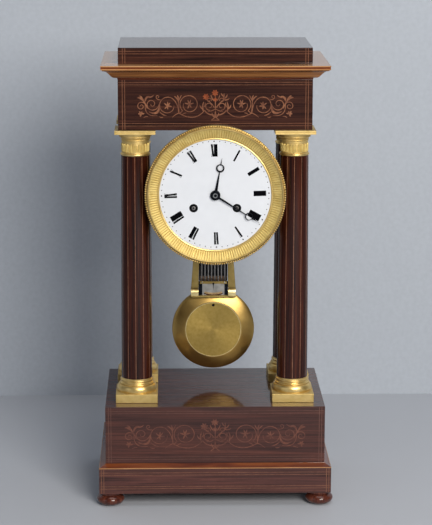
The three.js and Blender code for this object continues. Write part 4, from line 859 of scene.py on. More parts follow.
def bent(start, pull, end, widths):
    """A stem, leaf or petal from start to end, drawn towards a point between them."""
    points = []
    for step in range(11):
        share = step / 10
        weights = ((1 - share) ** 2, 2 * share * (1 - share), share ** 2)
        points.append(tuple(sum(weight * knot[axis] for weight, knot in zip(weights, (start, pull, end)))
                            for axis in (0, 1)))
    return points, widths


def petals(centre, tips, fat):
    """Straight petals from a centre, each to a tip given as distance and angle in degrees."""
    strokes = []
    for reach, angle in tips:
        along = (math.cos(math.radians(angle)), math.sin(math.radians(angle)))
        points = [(centre[0] + reach * share * along[0], centre[1] + reach * share * along[1])
                  for share in (0.0, 0.2, 0.4, 0.6, 0.8, 1.0)]
        strokes.append((points, (0.25, fat, 0.2)))
    return strokes


print("strokes are drawn in millimetres from the middle of a panel")

# %% Half of the scrolls
BLOSSOM = ((5.0, 18), (4.9, 72), (4.9, 108), (5.0, 162), (4.0, 238), (4.6, 290))
STEM = (0.40, 0.46, 0.40)
CURL = (0.42, 0.50, 0.26)
half_scroll = [
    bent((11.6, -6.2), (22.0, -18.4), (38.2, -8.6), (0.3, 0.55, 0.40)),
    bent((37.4, -8.6), (40.2, -8.4), (45.4, -13.2), (0.40, 0.60, 0.15)),
    spiral((27.7, 0.6), 9.4, -46, 1.16, 0.42, CURL, 3.0),
    bent((38.2, -8.4), (38.4, -10.2), (34.4, -6.2), (0.40, 0.45, 0.40)),
    bent((34.6, -10.4), (32.6, -8.2), (30.4, -8.4), (0.15, 0.75, 0.15)),
    bent((38.2, -8.4), (38.4, -1.0), (38.8, 4.4), (0.45, 0.40, 0.40)),
    bent((38.8, 3.2), (38.2, 7.0), (39.8, 10.2), (0.30, 1.5, 0.20)),
    bent((38.9, 4.2), (40.4, 8.2), (43.4, 9.2), (0.25, 1.1, 0.15)),
    bent((38.7, 4.2), (36.8, 7.4), (35.6, 10.2), (0.25, 0.9, 0.15)),
    bent((38.2, -7.6), (39.4, 2.6), (45.2, 7.0), (0.45, 0.42, 0.45)),
    spiral((49.8, -0.6), 8.9, 121, -0.84, 0.28, CURL, 2.0),
    bent((58.5, -7.0), (55.2, -10.8), (51.0, -11.2), (0.15, 0.9, 0.15)),
    bent((58.6, -12.2), (56.6, -13.8), (54.4, -12.8), (0.12, 0.7, 0.12)),
    bent((58.6, 0.6), (58.6, -12.8), (69.6, -7.0), (0.30, 2.2, 0.15)),
    spiral((66.4, 0.8), 7.4, 182, 1.5, 0.88, CURL, 0.9),
    bent((71.2, -3.8), (73.2, 2.2), (76.8, 6.2), (0.30, 1.0, 0.60)),
    spiral((77.6, -1.3), 4.7, 152, -1.45, 0.85, CURL),
    bent((73.4, 0.6), (74.2, -13.2), (60.6, -11.0), (0.30, 0.60, 0.20)),
    bent((74.6, 3.6), (77.6, 8.8), (81.8, 7.4), (0.30, 2.4, 0.12)),
    bent((76.0, 5.4), (77.0, 9.0), (79.6, 9.8), (0.25, 1.3, 0.12)),
    bent((73.6, 3.4), (73.0, 9.4), (68.0, 8.8), (0.30, 1.9, 0.20)),
    bent((71.0, 8.2), (67.2, 7.4), (64.4, 10.4), (0.25, 1.2, 0.12)),
    bent((57.0, 5.4), (61.4, 5.2), (62.0, 8.4), (0.36, 0.40, 0.32)),
    spiral((60.2, 8.5), 1.8, 0, 0.75, 0.55, (0.32, 0.34, 0.3)),
    bent((75.4, -13.6), (73.0, -11.6), (70.4, -12.2), (0.12, 0.9, 0.12)),
    *petals((77.6, -9.3), ((3.4, 52), (3.4, 175), (3.3, 290), (3.2, 0), (2.8, 110)), 1.5),
    *petals((27.3, 0.6), BLOSSOM, 1.25),
    *petals((50.2, -1.0), tuple((reach * 0.92, angle + 24) for reach, angle in BLOSSOM), 1.2),
    spiral((6.4, -1.2), 4.4, -100, 1.05, 0.62, CURL),
    spiral((6.8, 5.0), 2.6, 200, -1.0, 0.6, (0.34, 0.36, 0.26)),
    bent((1.2, -2.4), (4.6, 2.6), (9.6, 6.0), STEM),
    bent((12.4, -7.2), (14.4, -1.4), (12.0, 3.4), (0.20, 1.5, 0.12)),
    bent((12.8, -4.4), (15.6, -3.4), (16.4, 0.4), (0.20, 1.1, 0.12)),
    bent((12.2, -2.4), (10.2, -0.4), (10.6, 2.6), (0.20, 0.9, 0.12)),
    bent((11.4, -5.4), (8.4, -10.8), (0.8, -10.6), (0.40, 0.90, 0.45)),
    bent((0.5, -11.0), (0.6, -14.2), (3.8, -15.4), (0.50, 0.55, 0.30)),
    bent((0.2, -13.4), (3.0, -12.0), (3.6, -8.2), (0.20, 1.0, 0.15)),
    bent((0.8, -4.4), (3.6, -6.8), (7.8, -6.6), (0.30, 0.55, 0.30)),
    bent((1.6, 4.4), (4.0, 6.8), (4.6, 10.6), (0.20, 1.1, 0.12)),
]
print("half of the scrolls has", len(half_scroll), "strokes")

# %% Middle of the scrolls
ROUND_BLOOM = tuple((3.5, 51.4 * petal + 13) for petal in range(7))
middle_scroll = [
    ([(-4.4, -16.0), (4.4, -16.0)], (0.35, 0.55, 0.35)),
    bent((0.0, -13.6), (0.0, -10.0), (0.0, -6.4), (0.30, 1.2, 0.20)),
    bent((0.0, -5.6), (0.0, 3.0), (0.0, 10.0), STEM),
    ([(-2.6, -2.4), (2.6, -2.4)], (0.25, 0.50, 0.25)),
    # a leafy sprig on the right, across from a flower on the left
    bent((7.6, 3.4), (9.4, 7.0), (9.0, 12.2), (0.25, 0.9, 0.15)),
    bent((8.8, 6.6), (11.4, 7.2), (12.6, 11.0), (0.20, 1.2, 0.12)),
    bent((8.6, 5.4), (12.2, 4.6), (14.6, 6.8), (0.20, 1.1, 0.12)),
    bent((8.8, 8.8), (6.8, 9.8), (6.2, 12.4), (0.20, 0.9, 0.12)),
]
middle_blooms = petals((-0.4, 12.6), ROUND_BLOOM, 1.75) + petals((-9.8, 8.6), ROUND_BLOOM, 1.75)
middle_blooms += petals((-0.2, 5.6), tuple((2.2, 72 * petal + 18) for petal in range(5)), 1.1)
print("the middle has", len(middle_scroll) + len(middle_blooms), "strokes")

# %% Scrolls on both panels
def mirrored(half, middle, stretch):
    """The whole drawing from one half of it and its middle, stretched to its panel."""
    strokes = list(middle)
    for points, widths in half:
        strokes.append((points, widths))
        strokes.append(([(-x, z) for x, z in points], widths))
    return [([(x * stretch[0], z * stretch[1]) for x, z in points], widths) for points, widths in strokes]


BLOOM_LIFT = 0.2
for node, name, stretch, wood, bloom_wood in (
        ("frieze_case", "frieze_scrolls", (1.0, 1.0), scroll_wood, stained_wood),
        ("plinth_case", "plinth_scrolls", (1.19, 1.12), aged_scroll, aged_scroll)):
    low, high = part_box(node)
    laid = wall_matrix("front", low, high)
    drawing = placed(inlaid(mirrored(half_scroll, middle_scroll, stretch), wood), laid)
    over = laid @ Matrix.Translation((0, 0, BLOOM_LIFT * MM))
    blooms = placed(inlaid(mirrored([], middle_blooms, stretch), bloom_wood), over)
    piece(name, "case", [(drawing, wood), (blooms, bloom_wood)], (), FLAT)
    print(name, "has", len(drawing.polygons) + len(blooms.polygons), "faces")

# %% [markdown]
# ## Feet
# Four bun feet, turned in rosewood: a flat cushion shape with a thin neck under the base.

# %% Bun feet
foot_low, foot_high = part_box("foot_front_left")
foot_radius = (foot_high.x - foot_low.x) / 2 / MM
foot_height = (foot_high.z - foot_low.z) / MM
CUSHION_FOOT, CUSHION_MIDDLE, CUSHION_TOP = 0.25, 6.1, 11.6
CUSHION_HALF = 7.4
CUSHION_STEPS = 24


def stand_on(node, height=None):
    """The matrix that stands a mesh on the middle of a CAD node's foot, or over it at a height."""
    middle = middle_of(node)
    return Matrix.Translation((middle.x, middle.y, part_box(node)[0].z if height is None else height))


cushion = []
for step in range(CUSHION_STEPS + 1):
    height = CUSHION_FOOT + (CUSHION_TOP - CUSHION_FOOT) * step / CUSHION_STEPS
    share = (height - CUSHION_MIDDLE) / CUSHION_HALF
    cushion.append((foot_radius * math.sqrt(1 - share ** 2), height))
neck = [(10.4, CUSHION_TOP + 0.2), (11.2, CUSHION_TOP + 0.5), (11.4, CUSHION_TOP + 1.2), (11.4, foot_height)]
foot_outline = [(0, 0), (cushion[0][0] - 0.4, 0)] + cushion + neck + [(0, foot_height)]
for place in PLACES:
    foot = turned(foot_outline, 72, stand_on("foot_" + place))
    piece("bun_foot_" + place, "case", [(foot, foot_wood)], ["foot_" + place], 40)
print("four feet, radius in mm:", round(foot_radius, 1))

# %% [markdown]
# ## Columns
# Each column has a gilt base (a square slab, a fat torus, a hollow and a ring), a tapering rosewood
# shaft with twelve pale strings let into it, and a gilt capital whose drum is chased with upright
# leaves and narrow darts between them, under a square slab. A leaf, a dart and a string are drawn once
# each and turned round the axis.

# %% Column bases
SLAB_HEIGHT = 9.6
TORUS_MIDDLE = (18.4, 2.7)
TORUS_OUT, TORUS_UP = 3.0, 5.1
torus = [(TORUS_MIDDLE[0] + TORUS_OUT * math.cos(math.radians(angle)),
          TORUS_MIDDLE[1] + TORUS_UP * math.sin(math.radians(angle))) for angle in range(-30, 91, 10)]
base_outline = [(0, 0), (20.6, 0)] + torus + [(18.5, 7.9)] + arc((18.1, 8.8), 0.85, -70, 70, 6)
base_outline += [(17.7, 9.8), (17.1, 10.4), (16.95, 11.0), (17.2, 11.7)]
base_outline += arc((17.1, 12.7), 0.95, -60, 80, 7) + [(16.9, 13.9), (16.8, 15.0), (0, 15.0)]
for place in PLACES:
    node = "column_base_" + place
    low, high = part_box(node)
    slab_top = low.z + SLAB_HEIGHT * MM
    slab = block(low, (high.x, high.y, slab_top), 0.5)
    rings = turned(base_outline, 80, stand_on(node, slab_top))
    piece("gilt_base_" + place, "case", [(slab, gilt_matte), (rings, gilt_bright)], [node])
print("four column bases, slab height in mm:", SLAB_HEIGHT)

# %% [markdown]
# A shaft is turned with a straight taper and a faint swelling, which keeps it from looking pinched. Its
# strings could be painted on by the material. A line let into wood has an edge that catches the light,
# though, so a string is a thin raised strip that follows the taper.

# %% Column shafts with strings
STRING_COUNT = 12
SHAFT_FOOT, SHAFT_NECK = 16.5, 15.1
SHAFT_SWELLING = 0.2
SHAFT_STEPS = 16
SHAFT_STRING_HALF = 0.30
STRING_SECTION = ((-1.0, -0.15), (-0.9, 0.05), (0.0, 0.06), (0.9, 0.05), (1.0, -0.15))
STRING_GAP = 0.3
STRING_TURN = Matrix.Rotation(math.radians(-2), 4, "Z")
shaft_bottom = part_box("column_base_front_left")[1].z
shaft_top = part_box("capital_front_left")[0].z
shaft_height = (shaft_top - shaft_bottom) / MM


def shaft_radius(share):
    """The shaft's radius at a share of its height: a straight taper with a faint swelling."""
    return SHAFT_FOOT + (SHAFT_NECK - SHAFT_FOOT) * share + SHAFT_SWELLING * math.sin(math.pi * share)


def relief(grid):
    """A closed raised patch from rows of points: the grid in front and one face behind."""
    shape = bmesh.new()
    rows = [[shape.verts.new(point) for point in row] for row in grid]
    for low, high in zip(rows, rows[1:]):
        for side in range(len(low) - 1):
            shape.faces.new((low[side], low[side + 1], high[side + 1], high[side]))
    rim = rows[0] + [row[-1] for row in rows[1:]] + rows[-1][-2::-1] + [row[0] for row in rows[-2:0:-1]]
    shape.faces.new(reversed(rim))
    return mesh_from(shape)


shaft_outline = [(0, 0)]
string_rows = []
for step in range(SHAFT_STEPS + 1):
    share = step / SHAFT_STEPS
    radius = shaft_radius(share)
    shaft_outline.append((radius, share * shaft_height))
    height = STRING_GAP + share * (shaft_height - 2 * STRING_GAP)
    string_rows.append([
        round_point(radius + lift, across * SHAFT_STRING_HALF / radius - math.pi / 2, height)
        for across, lift in STRING_SECTION])
shaft_outline.append((0, shaft_height))
shaft_strings = grown(relief(string_rows), round_axis, {"Count": STRING_COUNT, "Material": string_wood})
for place in PLACES:
    node = "column_shaft_" + place
    stand = stand_on(node, shaft_bottom)
    strings = placed(shaft_strings, stand @ STRING_TURN)
    piece("shaft_" + place, "case", [(turned(shaft_outline, 96, stand), shaft_wood)], [node])
    piece("shaft_strings_" + place, "case", [(strings, string_wood)])
print("shaft height in mm:", round(shaft_height, 1), "with", STRING_COUNT, "strings")

# %% [markdown]
# The leaves were chased into the cast drum by hand. Each has a rib up its middle, a hollow on both sides
# of it and a rounded top. A bump in the material would vanish at the drum's outline, so a leaf is a grid
# of points in low relief with its back closed.

# %% Leaves of the capitals
LEAF_COUNT = 22
LEAF_BOTTOM, LEAF_TOP, DART_TOP = 3.7, 13.6, 12.6
LEAF_SHARE, DART_SHARE = 0.64, 0.27
LEAF_ROWS, LEAF_COLUMNS = 10, 8
LEAF_SHOULDER = 0.7
LEAF_RISE, LEAF_HOLLOW, LEAF_CURL = 0.45, 0.30, 0.2
MIDRIB_RISE, MIDRIB_SHARE = 0.25, 0.28
LEAF_SINK = -0.3
DRUM_RADIUS = 14.2


def tongue(share, top):
    """A leaf or dart in low relief on the drum, as wide as its share of a pitch, with a rib up its
    middle."""
    widest = math.pi * DRUM_RADIUS / LEAF_COUNT * share
    rows = []
    for row in range(LEAF_ROWS + 1):
        up = row / LEAF_ROWS
        rounding = max(0, 1 - max(0, up - LEAF_SHOULDER) / (1 - LEAF_SHOULDER)) ** 0.5
        half = max(widest * (0.85 + 0.15 * math.sin(math.pi * up)) * rounding, 0.15)
        points = []
        for column in range(LEAF_COLUMNS + 1):
            across = 2 * column / LEAF_COLUMNS - 1
            midrib = MIDRIB_RISE * max(0, 1 - abs(across) / MIDRIB_SHARE)
            hollow = LEAF_HOLLOW * math.sin(math.pi * abs(across)) ** 2
            rise = LEAF_RISE + midrib - hollow + LEAF_CURL * up ** 4
            edge = row in (0, LEAF_ROWS) or abs(across) == 1
            points.append(round_point(DRUM_RADIUS + (LEAF_SINK if edge else rise),
                                      half * across / DRUM_RADIUS - math.pi / 2,
                                      LEAF_BOTTOM + (top - LEAF_BOTTOM) * up))
        rows.append(points)
    return relief(rows)


between = Matrix.Rotation(math.pi / LEAF_COUNT, 4, "Z")
leaf_values = {"Count": LEAF_COUNT, "Material": gilt_soft}
leaves = grown(tongue(LEAF_SHARE, LEAF_TOP), round_axis, leaf_values)
darts = grown(placed(tongue(DART_SHARE, DART_TOP), between), round_axis, leaf_values)
print(LEAF_COUNT, "leaves and as many darts have", len(leaves.polygons) + len(darts.polygons), "faces")

# %% Capitals
ABACUS_HEIGHT = 4.0
ABACUS_GROOVE = 0.4
FLARE_FOOT = (14.8, 17.9)
FLARE_OUT, FLARE_UP = 2.1, 2.0
FLARE_STEPS = 6
capital_low, capital_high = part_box("capital_front_left")
bell_height = (capital_high.z - capital_low.z) / MM - ABACUS_HEIGHT
astragal_outline = [(0, 0), (14.6, 0)] + arc((14.4, 1.55), 1.5, -80, 80, 8) + [(14.4, 3.2), (0, 3.2)]
flare = [(FLARE_FOOT[0] + FLARE_OUT * (step / FLARE_STEPS) ** 1.3,
          FLARE_FOOT[1] + FLARE_UP * step / FLARE_STEPS) for step in range(FLARE_STEPS + 1)]
capital_outline = [(0, 3.0), (14.5, 3.0), (DRUM_RADIUS, 3.5), (DRUM_RADIUS, 13.4), (14.5, 13.8)]
capital_outline += [(14.5, 15.5)] + arc((14.5, 16.6), 0.8, -70, 70, 6) + [(14.8, 17.8)] + flare
capital_outline += [(17.1, 20.0), (17.1, 20.8), (16.8, 21.0), (17.6, 22.2), (17.6, bell_height)]
capital_outline.append((0, bell_height))
abacus_half = (capital_high.x - capital_low.x) / 2
abacus_levels = [(abacus_half - inset * MM, abacus_half - inset * MM, height * MM) for inset, height in (
    (0, 0), (0, 1.6), (ABACUS_GROOVE, 1.8), (ABACUS_GROOVE, 2.1), (0, 2.3), (0, ABACUS_HEIGHT))]
abacus = eased(swept_block(abacus_levels), 0.25, 2)
for place in PLACES:
    node = "capital_" + place
    stand = stand_on(node)
    slab_stand = stand_on(node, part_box(node)[1].z - ABACUS_HEIGHT * MM)
    piece("gilt_capital_" + place, "case",
          [(turned(astragal_outline, 80, stand), gilt_bright),
           (turned(capital_outline, 80, stand), gilt_matte), (placed(leaves, stand), gilt_soft),
           (placed(darts, stand), gilt_soft), (placed(abacus, slab_stand), gilt_matte)], [node])
print("four capitals, bell height in mm:", round(bell_height, 1))

# %% [markdown]
# ## Bezel
# The gilt bezel is a shallow dish round the dial. A thin bright lip holds the dial, then fine radial
# ribs run up a hollow slope to a smooth ring, and a rope of small beads runs round the outer edge. The
# ring is turned, and the ribs and beads are copies round its axis. The slope between the ribs has a darker
# gilt, which is painted shade in the grooves, and the bed under the beads is a darker brass, painted shade.

# %% Bezel
bezel_low, bezel_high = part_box("bezel")
bezel_centre = middle_of("bezel")
bezel_depth = (bezel_high.y - bezel_low.y) / MM
bezel_radius = (bezel_high.x - bezel_low.x) / 2 / MM
BEZEL_SIDES = 180
OPENING = 59.0
EDGE_INSET = 0.9
RIB_COUNT, BEAD_COUNT = 164, 192
RIB_FROM, RIB_TO = 60.7, 70.8
RIB_LOW, RIB_HIGH = 3.8, 8.1
STRAIGHT_SHARE = 0.45


def slope(radius):
    """Height of the hollow slope over the bezel's back, gentle at the dial and steep outside."""
    share = (radius - RIB_FROM) / (RIB_TO - RIB_FROM)
    hollow = 1 - math.sqrt(max(0, 1 - share ** 2))
    return RIB_LOW + (RIB_HIGH - RIB_LOW) * (STRAIGHT_SHARE * share + (1 - STRAIGHT_SHARE) * hollow)


BEAD_RADIUS, BEAD_LENGTH = 0.98, 1.35
BEAD_HEIGHT = 6.3
rope_radius = bezel_radius - BEAD_LENGTH - 0.05
edge_radius = bezel_radius - EDGE_INSET
bezel_outline = [(64.7, 0), (edge_radius, 0), (edge_radius, 3.6), (rope_radius, 4.6), (72.4, 5.2),
                 (72.4, 7.4), (72.15, 8.0), (71.7, 8.5), (71.2, bezel_depth - 0.05), (70.8, 8.6),
                 (70.4, 8.2), (70.2, 7.0), (66.0, 3.6), (62.0, 3.0), (60.8, 3.8), (60.4, 3.9),
                 (59.8, 3.75), (59.3, 3.5), (59.1, 3.2), (OPENING, 2.9), (64.7, 2.9)]
rib_radii = [RIB_FROM + (RIB_TO - RIB_FROM) * step / 10 for step in range(11)]
groove_outline = [(radius, slope(radius)) for radius in rib_radii] + [(70.5, 6.0), (66.0, 3.3), (60.7, 2.95)]
rope_bed = [(72.0, 3.4), (edge_radius, 3.4), (edge_radius, 5.0), (72.0, 5.7)]
lip_outline = [(60.5, 3.4), (60.45, 4.0), (60.0, 4.15), (59.5, 3.95), (59.15, 3.4), (59.1, 3.0)]
stand = facing(bezel_centre.x, bezel_high.y, bezel_centre.z)
bezel_ring, groove_ring, rope_ring, lip_ring = [
    turned(outline, BEZEL_SIDES, stand, ring=True)
    for outline in (bezel_outline, groove_outline, rope_bed, lip_outline)]
print("bezel radius and depth in mm:", round(bezel_radius, 1), round(bezel_depth, 1))

# %% [markdown]
# A machine cut the ribs one after the other, so they are all alike and only one is drawn: a small round
# ridge up the slope. A bead is a stretched ball. Both have few faces, because they are repeated so often.

# %% Ribs and beads of the bezel
RIB_STEPS = 8
RIB_SHARE = 0.92
RIB_SECTION = (-1.0, -0.72, -0.35, 0.0, 0.35, 0.72, 1.0)
RIB_RISE, RIB_SINK = 0.6, -0.25
rib_rows = []
for step in range(RIB_STEPS + 1):
    radius = RIB_FROM + (RIB_TO - RIB_FROM) * step / RIB_STEPS
    half = math.pi * radius / RIB_COUNT * RIB_SHARE
    row = []
    for across in RIB_SECTION:
        edge = step in (0, RIB_STEPS) or abs(across) == 1
        rise = RIB_SINK if edge else RIB_RISE * math.sqrt(1 - across ** 2)
        row.append((radius * MM, half * across * MM, (slope(radius) + rise) * MM))
    rib_rows.append(row)
ribs = grown(relief(rib_rows), round_axis, {"Count": RIB_COUNT, "Material": gilt_soft})
bead = bmesh.new()
bmesh.ops.create_uvsphere(bead, u_segments=8, v_segments=6, radius=BEAD_RADIUS * MM)
stretch = BEAD_LENGTH / BEAD_RADIUS
bmesh.ops.scale(bead, vec=(stretch, 1, stretch), verts=bead.verts)
bmesh.ops.translate(bead, vec=(rope_radius * MM, 0, BEAD_HEIGHT * MM), verts=bead.verts)
beads = grown(mesh_from(bead), round_axis, {"Count": BEAD_COUNT, "Material": gilt_bright})
# the darker gilt under the ribs and the darker brass under the beads are painted shade
piece("gilt_bezel", "case",
      [(bezel_ring, gilt_matte), (groove_ring, groove_shade_gilt), (placed(ribs, stand), gilt_soft),
       (rope_ring, tarnish_shade_brass), (placed(beads, stand), gilt_bright), (lip_ring, gilt_bright)], ["bezel"])
print("bezel has", RIB_COUNT, "ribs and", BEAD_COUNT, "beads")

# %% [markdown]
# ## Dial
# The white enamel dial is very slightly domed. It is turned, then bored for the hands and for the two
# winding squares. Hours are in Roman numerals with thick and hair-thin strokes, standing on a circle
# with their feet to the middle, and small dots mark the minutes.

# %% Dial plate
dial_low, dial_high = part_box("dial")
dial_radius = (dial_high.x - dial_low.x) / 2 / MM
dial_z = (dial_low.z + dial_high.z) / 2
dial_face = dial_low.y
DIAL_THICKNESS = 1.2
DIAL_STEPS = 24
DOME = 0.45
WINDING_HOLE, CENTRE_HOLE = 4.6, 4.2
PLUG_HALF = 5
TRAINS = ("going", "strike")


def dome(radius_mm):
    """How far the dial's face stands out at a radius, in millimetres."""
    return DOME * (1 - (radius_mm / dial_radius) ** 2)


def round_bar(radius, low, high, sides, stand):
    """A plain round bar about Z between two heights, in millimetres, moved to its stand."""
    return turned([(0, low), (radius, low), (radius, high), (0, high)], sides, stand)


def bored(mesh, plugs):
    """A mesh with round holes cut by plugs."""
    cutters = []
    for plug in plugs:
        cutter = bpy.data.objects.new("plug", plug)
        scene.collection.objects.link(cutter)
        cutters.append(cutter)

    def cut(holder):
        for cutter in cutters:
            modifier = holder.modifiers.new("bore", "BOOLEAN")
            modifier.operation = "DIFFERENCE"
            modifier.object = cutter
            modifier.solver = "EXACT"
    result = applied(mesh, cut)
    for cutter in cutters:
        bpy.data.objects.remove(cutter)
    return result


dial_outline = [(0, -DIAL_THICKNESS), (dial_radius, -DIAL_THICKNESS)]
for step in range(DIAL_STEPS, -1, -1):
    radius = dial_radius * step / DIAL_STEPS
    dial_outline.append((radius, dome(radius)))
holes = [(middle_of(train + "_winding_arbor"), WINDING_HOLE) for train in TRAINS]
holes.append((Vector((0, dial_face, dial_z)), CENTRE_HOLE))
plugs = [round_bar(radius, -PLUG_HALF, PLUG_HALF, 48, facing(place.x, dial_face, place.z))
         for place, radius in holes]
dial_mesh = bored(turned(dial_outline, 120, facing(0, dial_face, dial_z)), plugs)
piece("enamel_dial", "case", [(dial_mesh, white_enamel)], ["dial"], 30)
print("dial radius in mm:", round(dial_radius, 1))

# %% [markdown]
# A font would give the wrong letters, because a dial's numerals are narrow and have very fat strokes. So
# each letter is drawn from straight strokes, thick or thin, with short lines at their ends. The strokes
# are laid flat as inlay and then bent to the dome.

# %% Hours and minutes
NUMERAL_INNER, NUMERAL_OUTER = 40.6, 53.6
NUMERAL_RADIUS = (NUMERAL_INNER + NUMERAL_OUTER) / 2
THICK = 0.94
HAIR = 0.13
SERIF = 0.12
MINUTE_CIRCLE = 56.7
DIAL_TURN = math.radians(1.4)
MARKING_RISE = 0.6
WIDTHS = {"I": 1.86, "V": 2.9, "X": 3.1}
HOURS = ("I", "II", "III", "IIII", "V", "VI", "VII", "VIII", "IX", "X", "XI", "XII")


def letter_strokes(letter, x, half):
    """Strokes of one Roman letter centred on x, as (start, end, half width)."""
    if letter == "I":
        return [((x, -half), (x, half), THICK), ((x - 0.85, half), (x + 0.85, half), SERIF),
                ((x - 0.85, -half), (x + 0.85, -half), SERIF)]
    if letter == "V":
        return [((x - 0.65, half), (x + 0.1, -half), THICK), ((x + 1.2, half), (x + 0.35, -half), HAIR),
                ((x - 1.4, half), (x + 0.1, half), SERIF), ((x + 0.8, half), (x + 1.6, half), SERIF)]
    return [((x - 0.75, half), (x + 0.75, -half), THICK), ((x + 1.2, half), (x - 1.2, -half), HAIR),
            ((x - 1.5, half), (x, half), SERIF), ((x, -half), (x + 1.5, -half), SERIF),
            ((x + 0.8, half), (x + 1.6, half), SERIF), ((x - 1.6, -half), (x - 0.8, -half), SERIF)]


numeral_strokes = []
for hour, letters in enumerate(HOURS, start=1):
    angle = math.radians(30 * hour)
    total = sum(WIDTHS[letter] for letter in letters)
    left = -total / 2
    for letter in letters:
        middle = left + WIDTHS[letter] / 2
        left += WIDTHS[letter]
        for start, end, half_width in letter_strokes(letter, middle, (NUMERAL_OUTER - NUMERAL_INNER) / 2):
            points = []
            for x, z in (start, end):
                out = NUMERAL_RADIUS + z
                points.append((out * math.sin(angle) + x * math.cos(angle),
                               out * math.cos(angle) - x * math.sin(angle)))
            numeral_strokes.append((points, (half_width,) * 3))


def on_dial(mesh, lift_mm):
    """Lays a flat drawing on the domed dial, turned a little, as the dial sits in its bezel."""
    for vertex in mesh.vertices:
        reach = math.hypot(vertex.co.x, vertex.co.y) / MM
        vertex.co.z += (dome(reach) + lift_mm) * MM
    laid = facing(0, dial_face, dial_z + MARKING_RISE * MM)
    return placed(mesh, laid @ Matrix.Rotation(DIAL_TURN, 4, "Z"))


def dots(count, radius_mm, sides):
    """Small painted dots round the minute circle, slightly raised."""
    outline = [(0, -0.1), (radius_mm, -0.1), (radius_mm, 0.02), (radius_mm * 0.7, 0.05), (0, 0.06)]
    dot = turned(outline, sides, Matrix.Translation((0, MINUTE_CIRCLE * MM, 0)))
    return grown(dot, round_axis, {"Count": count, "Material": black_enamel})


numerals = on_dial(inlaid(numeral_strokes, black_enamel), -0.05)
minute_dots = on_dial(dots(60, 0.52, 10), 0.0)
hour_dots = on_dial(dots(12, 0.74, 14), 0.01)
piece("dial_markings", "case",
      [(numerals, black_enamel), (minute_dots, black_enamel), (hour_dots, black_enamel)], (), FLAT)
print("dial markings have", len(numerals.polygons), "numeral faces")

# %% [markdown]
# ## Hands
# The hands are blackened steel with a moon: a slim blade swells a little past the hub, narrows, opens
# into a ring with an off-centre hole, and ends in a fine point. The outline is a half width at each
# distance from the axis, so one function draws both, and each takes its length and angle from the frame.

# %% Moon hands
HAND_STEPS = 160
BLADE_HALF = 0.42
TIP_HALF, TAIL_HALF = 0.10, 1.05
LEAST_HALF = 0.06
HAND_BEVEL = 0.14 * MM
HOLE_RISE = 0.35


def hand_outline(length, moon_at, moon_radius, hub_radius, root_half):
    """Half widths of a moon hand along its length, in millimetres."""
    neck = moon_at - moon_radius
    rows = []
    for step in range(HAND_STEPS + 1):
        along = -hub_radius + (length + hub_radius) * step / HAND_STEPS
        half = LEAST_HALF
        if abs(along) < hub_radius:
            half = max(half, math.sqrt(hub_radius ** 2 - along ** 2))
        if 0 < along < moon_at:
            half = max(half, BLADE_HALF + (root_half - BLADE_HALF) * max(0, 1 - along / neck) ** 0.8)
        if abs(along - moon_at) < moon_radius:
            half = max(half, math.sqrt(moon_radius ** 2 - (along - moon_at) ** 2))
        if along > moon_at:
            tail = (length - along) / (length - moon_at)
            half = max(half, TIP_HALF + TAIL_HALF * tail ** 1.6)
        rows.append((along, half))
    return rows


def moon_hand(node, moon_share, moon_radius, hole_radius, hub_radius, root_half):
    """A hand cut from sheet steel, with its moon pierced, turned to the angle that the frame shows."""
    low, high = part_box(node)
    points = [vertex.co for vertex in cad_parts[node].data.vertices]
    tip = max(points, key=lambda co: math.hypot(co.x, co.z - dial_z))
    length = math.hypot(tip.x, tip.z - dial_z) / MM
    angle = math.atan2(tip.x, tip.z - dial_z)
    moon_at = moon_share * length
    rows = hand_outline(length, moon_at, moon_radius, hub_radius, root_half)
    blade = [(half, along) for along, half in rows] + [(-half, along) for along, half in reversed(rows)]
    hole = arc((0, moon_at + HOLE_RISE), hole_radius, 0, 352.5, 47)
    curve = bpy.data.curves.new("hand", "CURVE")
    curve.dimensions = "2D"
    curve.fill_mode = "BOTH"
    curve.bevel_depth = HAND_BEVEL
    curve.bevel_resolution = 2
    curve.extrude = (high.y - low.y) / 2 - HAND_BEVEL
    curve.offset = -HAND_BEVEL
    for loop in (blade, hole):
        spline = curve.splines.new("POLY")
        spline.points.add(len(loop) - 1)
        spline.use_cyclic_u = True
        for knot, (x, y) in zip(spline.points, loop):
            knot.co = (x * MM, y * MM, 0, 1)
    mesh = applied(curve, lambda holder: None)
    mesh.transform(Matrix.Rotation(-angle, 4, "Z"))
    return placed(mesh, facing(0, (low.y + high.y) / 2, dial_z))


minute_mesh = moon_hand("minute_hand", 0.765, 4.1, 3.2, 5.2, 1.15)
hour_mesh = moon_hand("hour_hand", 0.73, 4.4, 2.95, 5.4, 1.7)
piece("minute_moon_hand", "minute_hand_body", [(minute_mesh, black_steel)],
      ["minute_hand"], 40)
piece("hour_moon_hand", "hour_hand_body", [(hour_mesh, black_steel)], ["hour_hand"], 40)
print("hands have", len(minute_mesh.polygons), "and", len(hour_mesh.polygons), "faces")

# %% [markdown]
# ## Pendulum
# Bright rods hang between two bars, so that heat lengthens some and lifts others, and a row of black rods
# behind them paints the shade in the gaps. A brass stirrup carries the bob, and a small silvered plate with
# a needle shows how far the rods have stretched. The bob is a heavy brass lens with a flat disc on its face,
# whose pale edge is a painted highlight.

# %% Rods and bars
iron_low, iron_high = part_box("gridiron")
# foot and top of the two crossbars, in millimetres over the floor
UPPER_BAR, LOWER_BAR = (325.9, 331.9), (223.4, 229.4)
ROD_COUNT = 8
ROD_PITCH = 3.66 * MM
ROD_RADIUS = 1.15
ROD_SIDES = 20
SHADE_ROD_Y = 1.7 * MM
SWING_Y = 28.5 * MM
STEM_HALF = 3.0 * MM


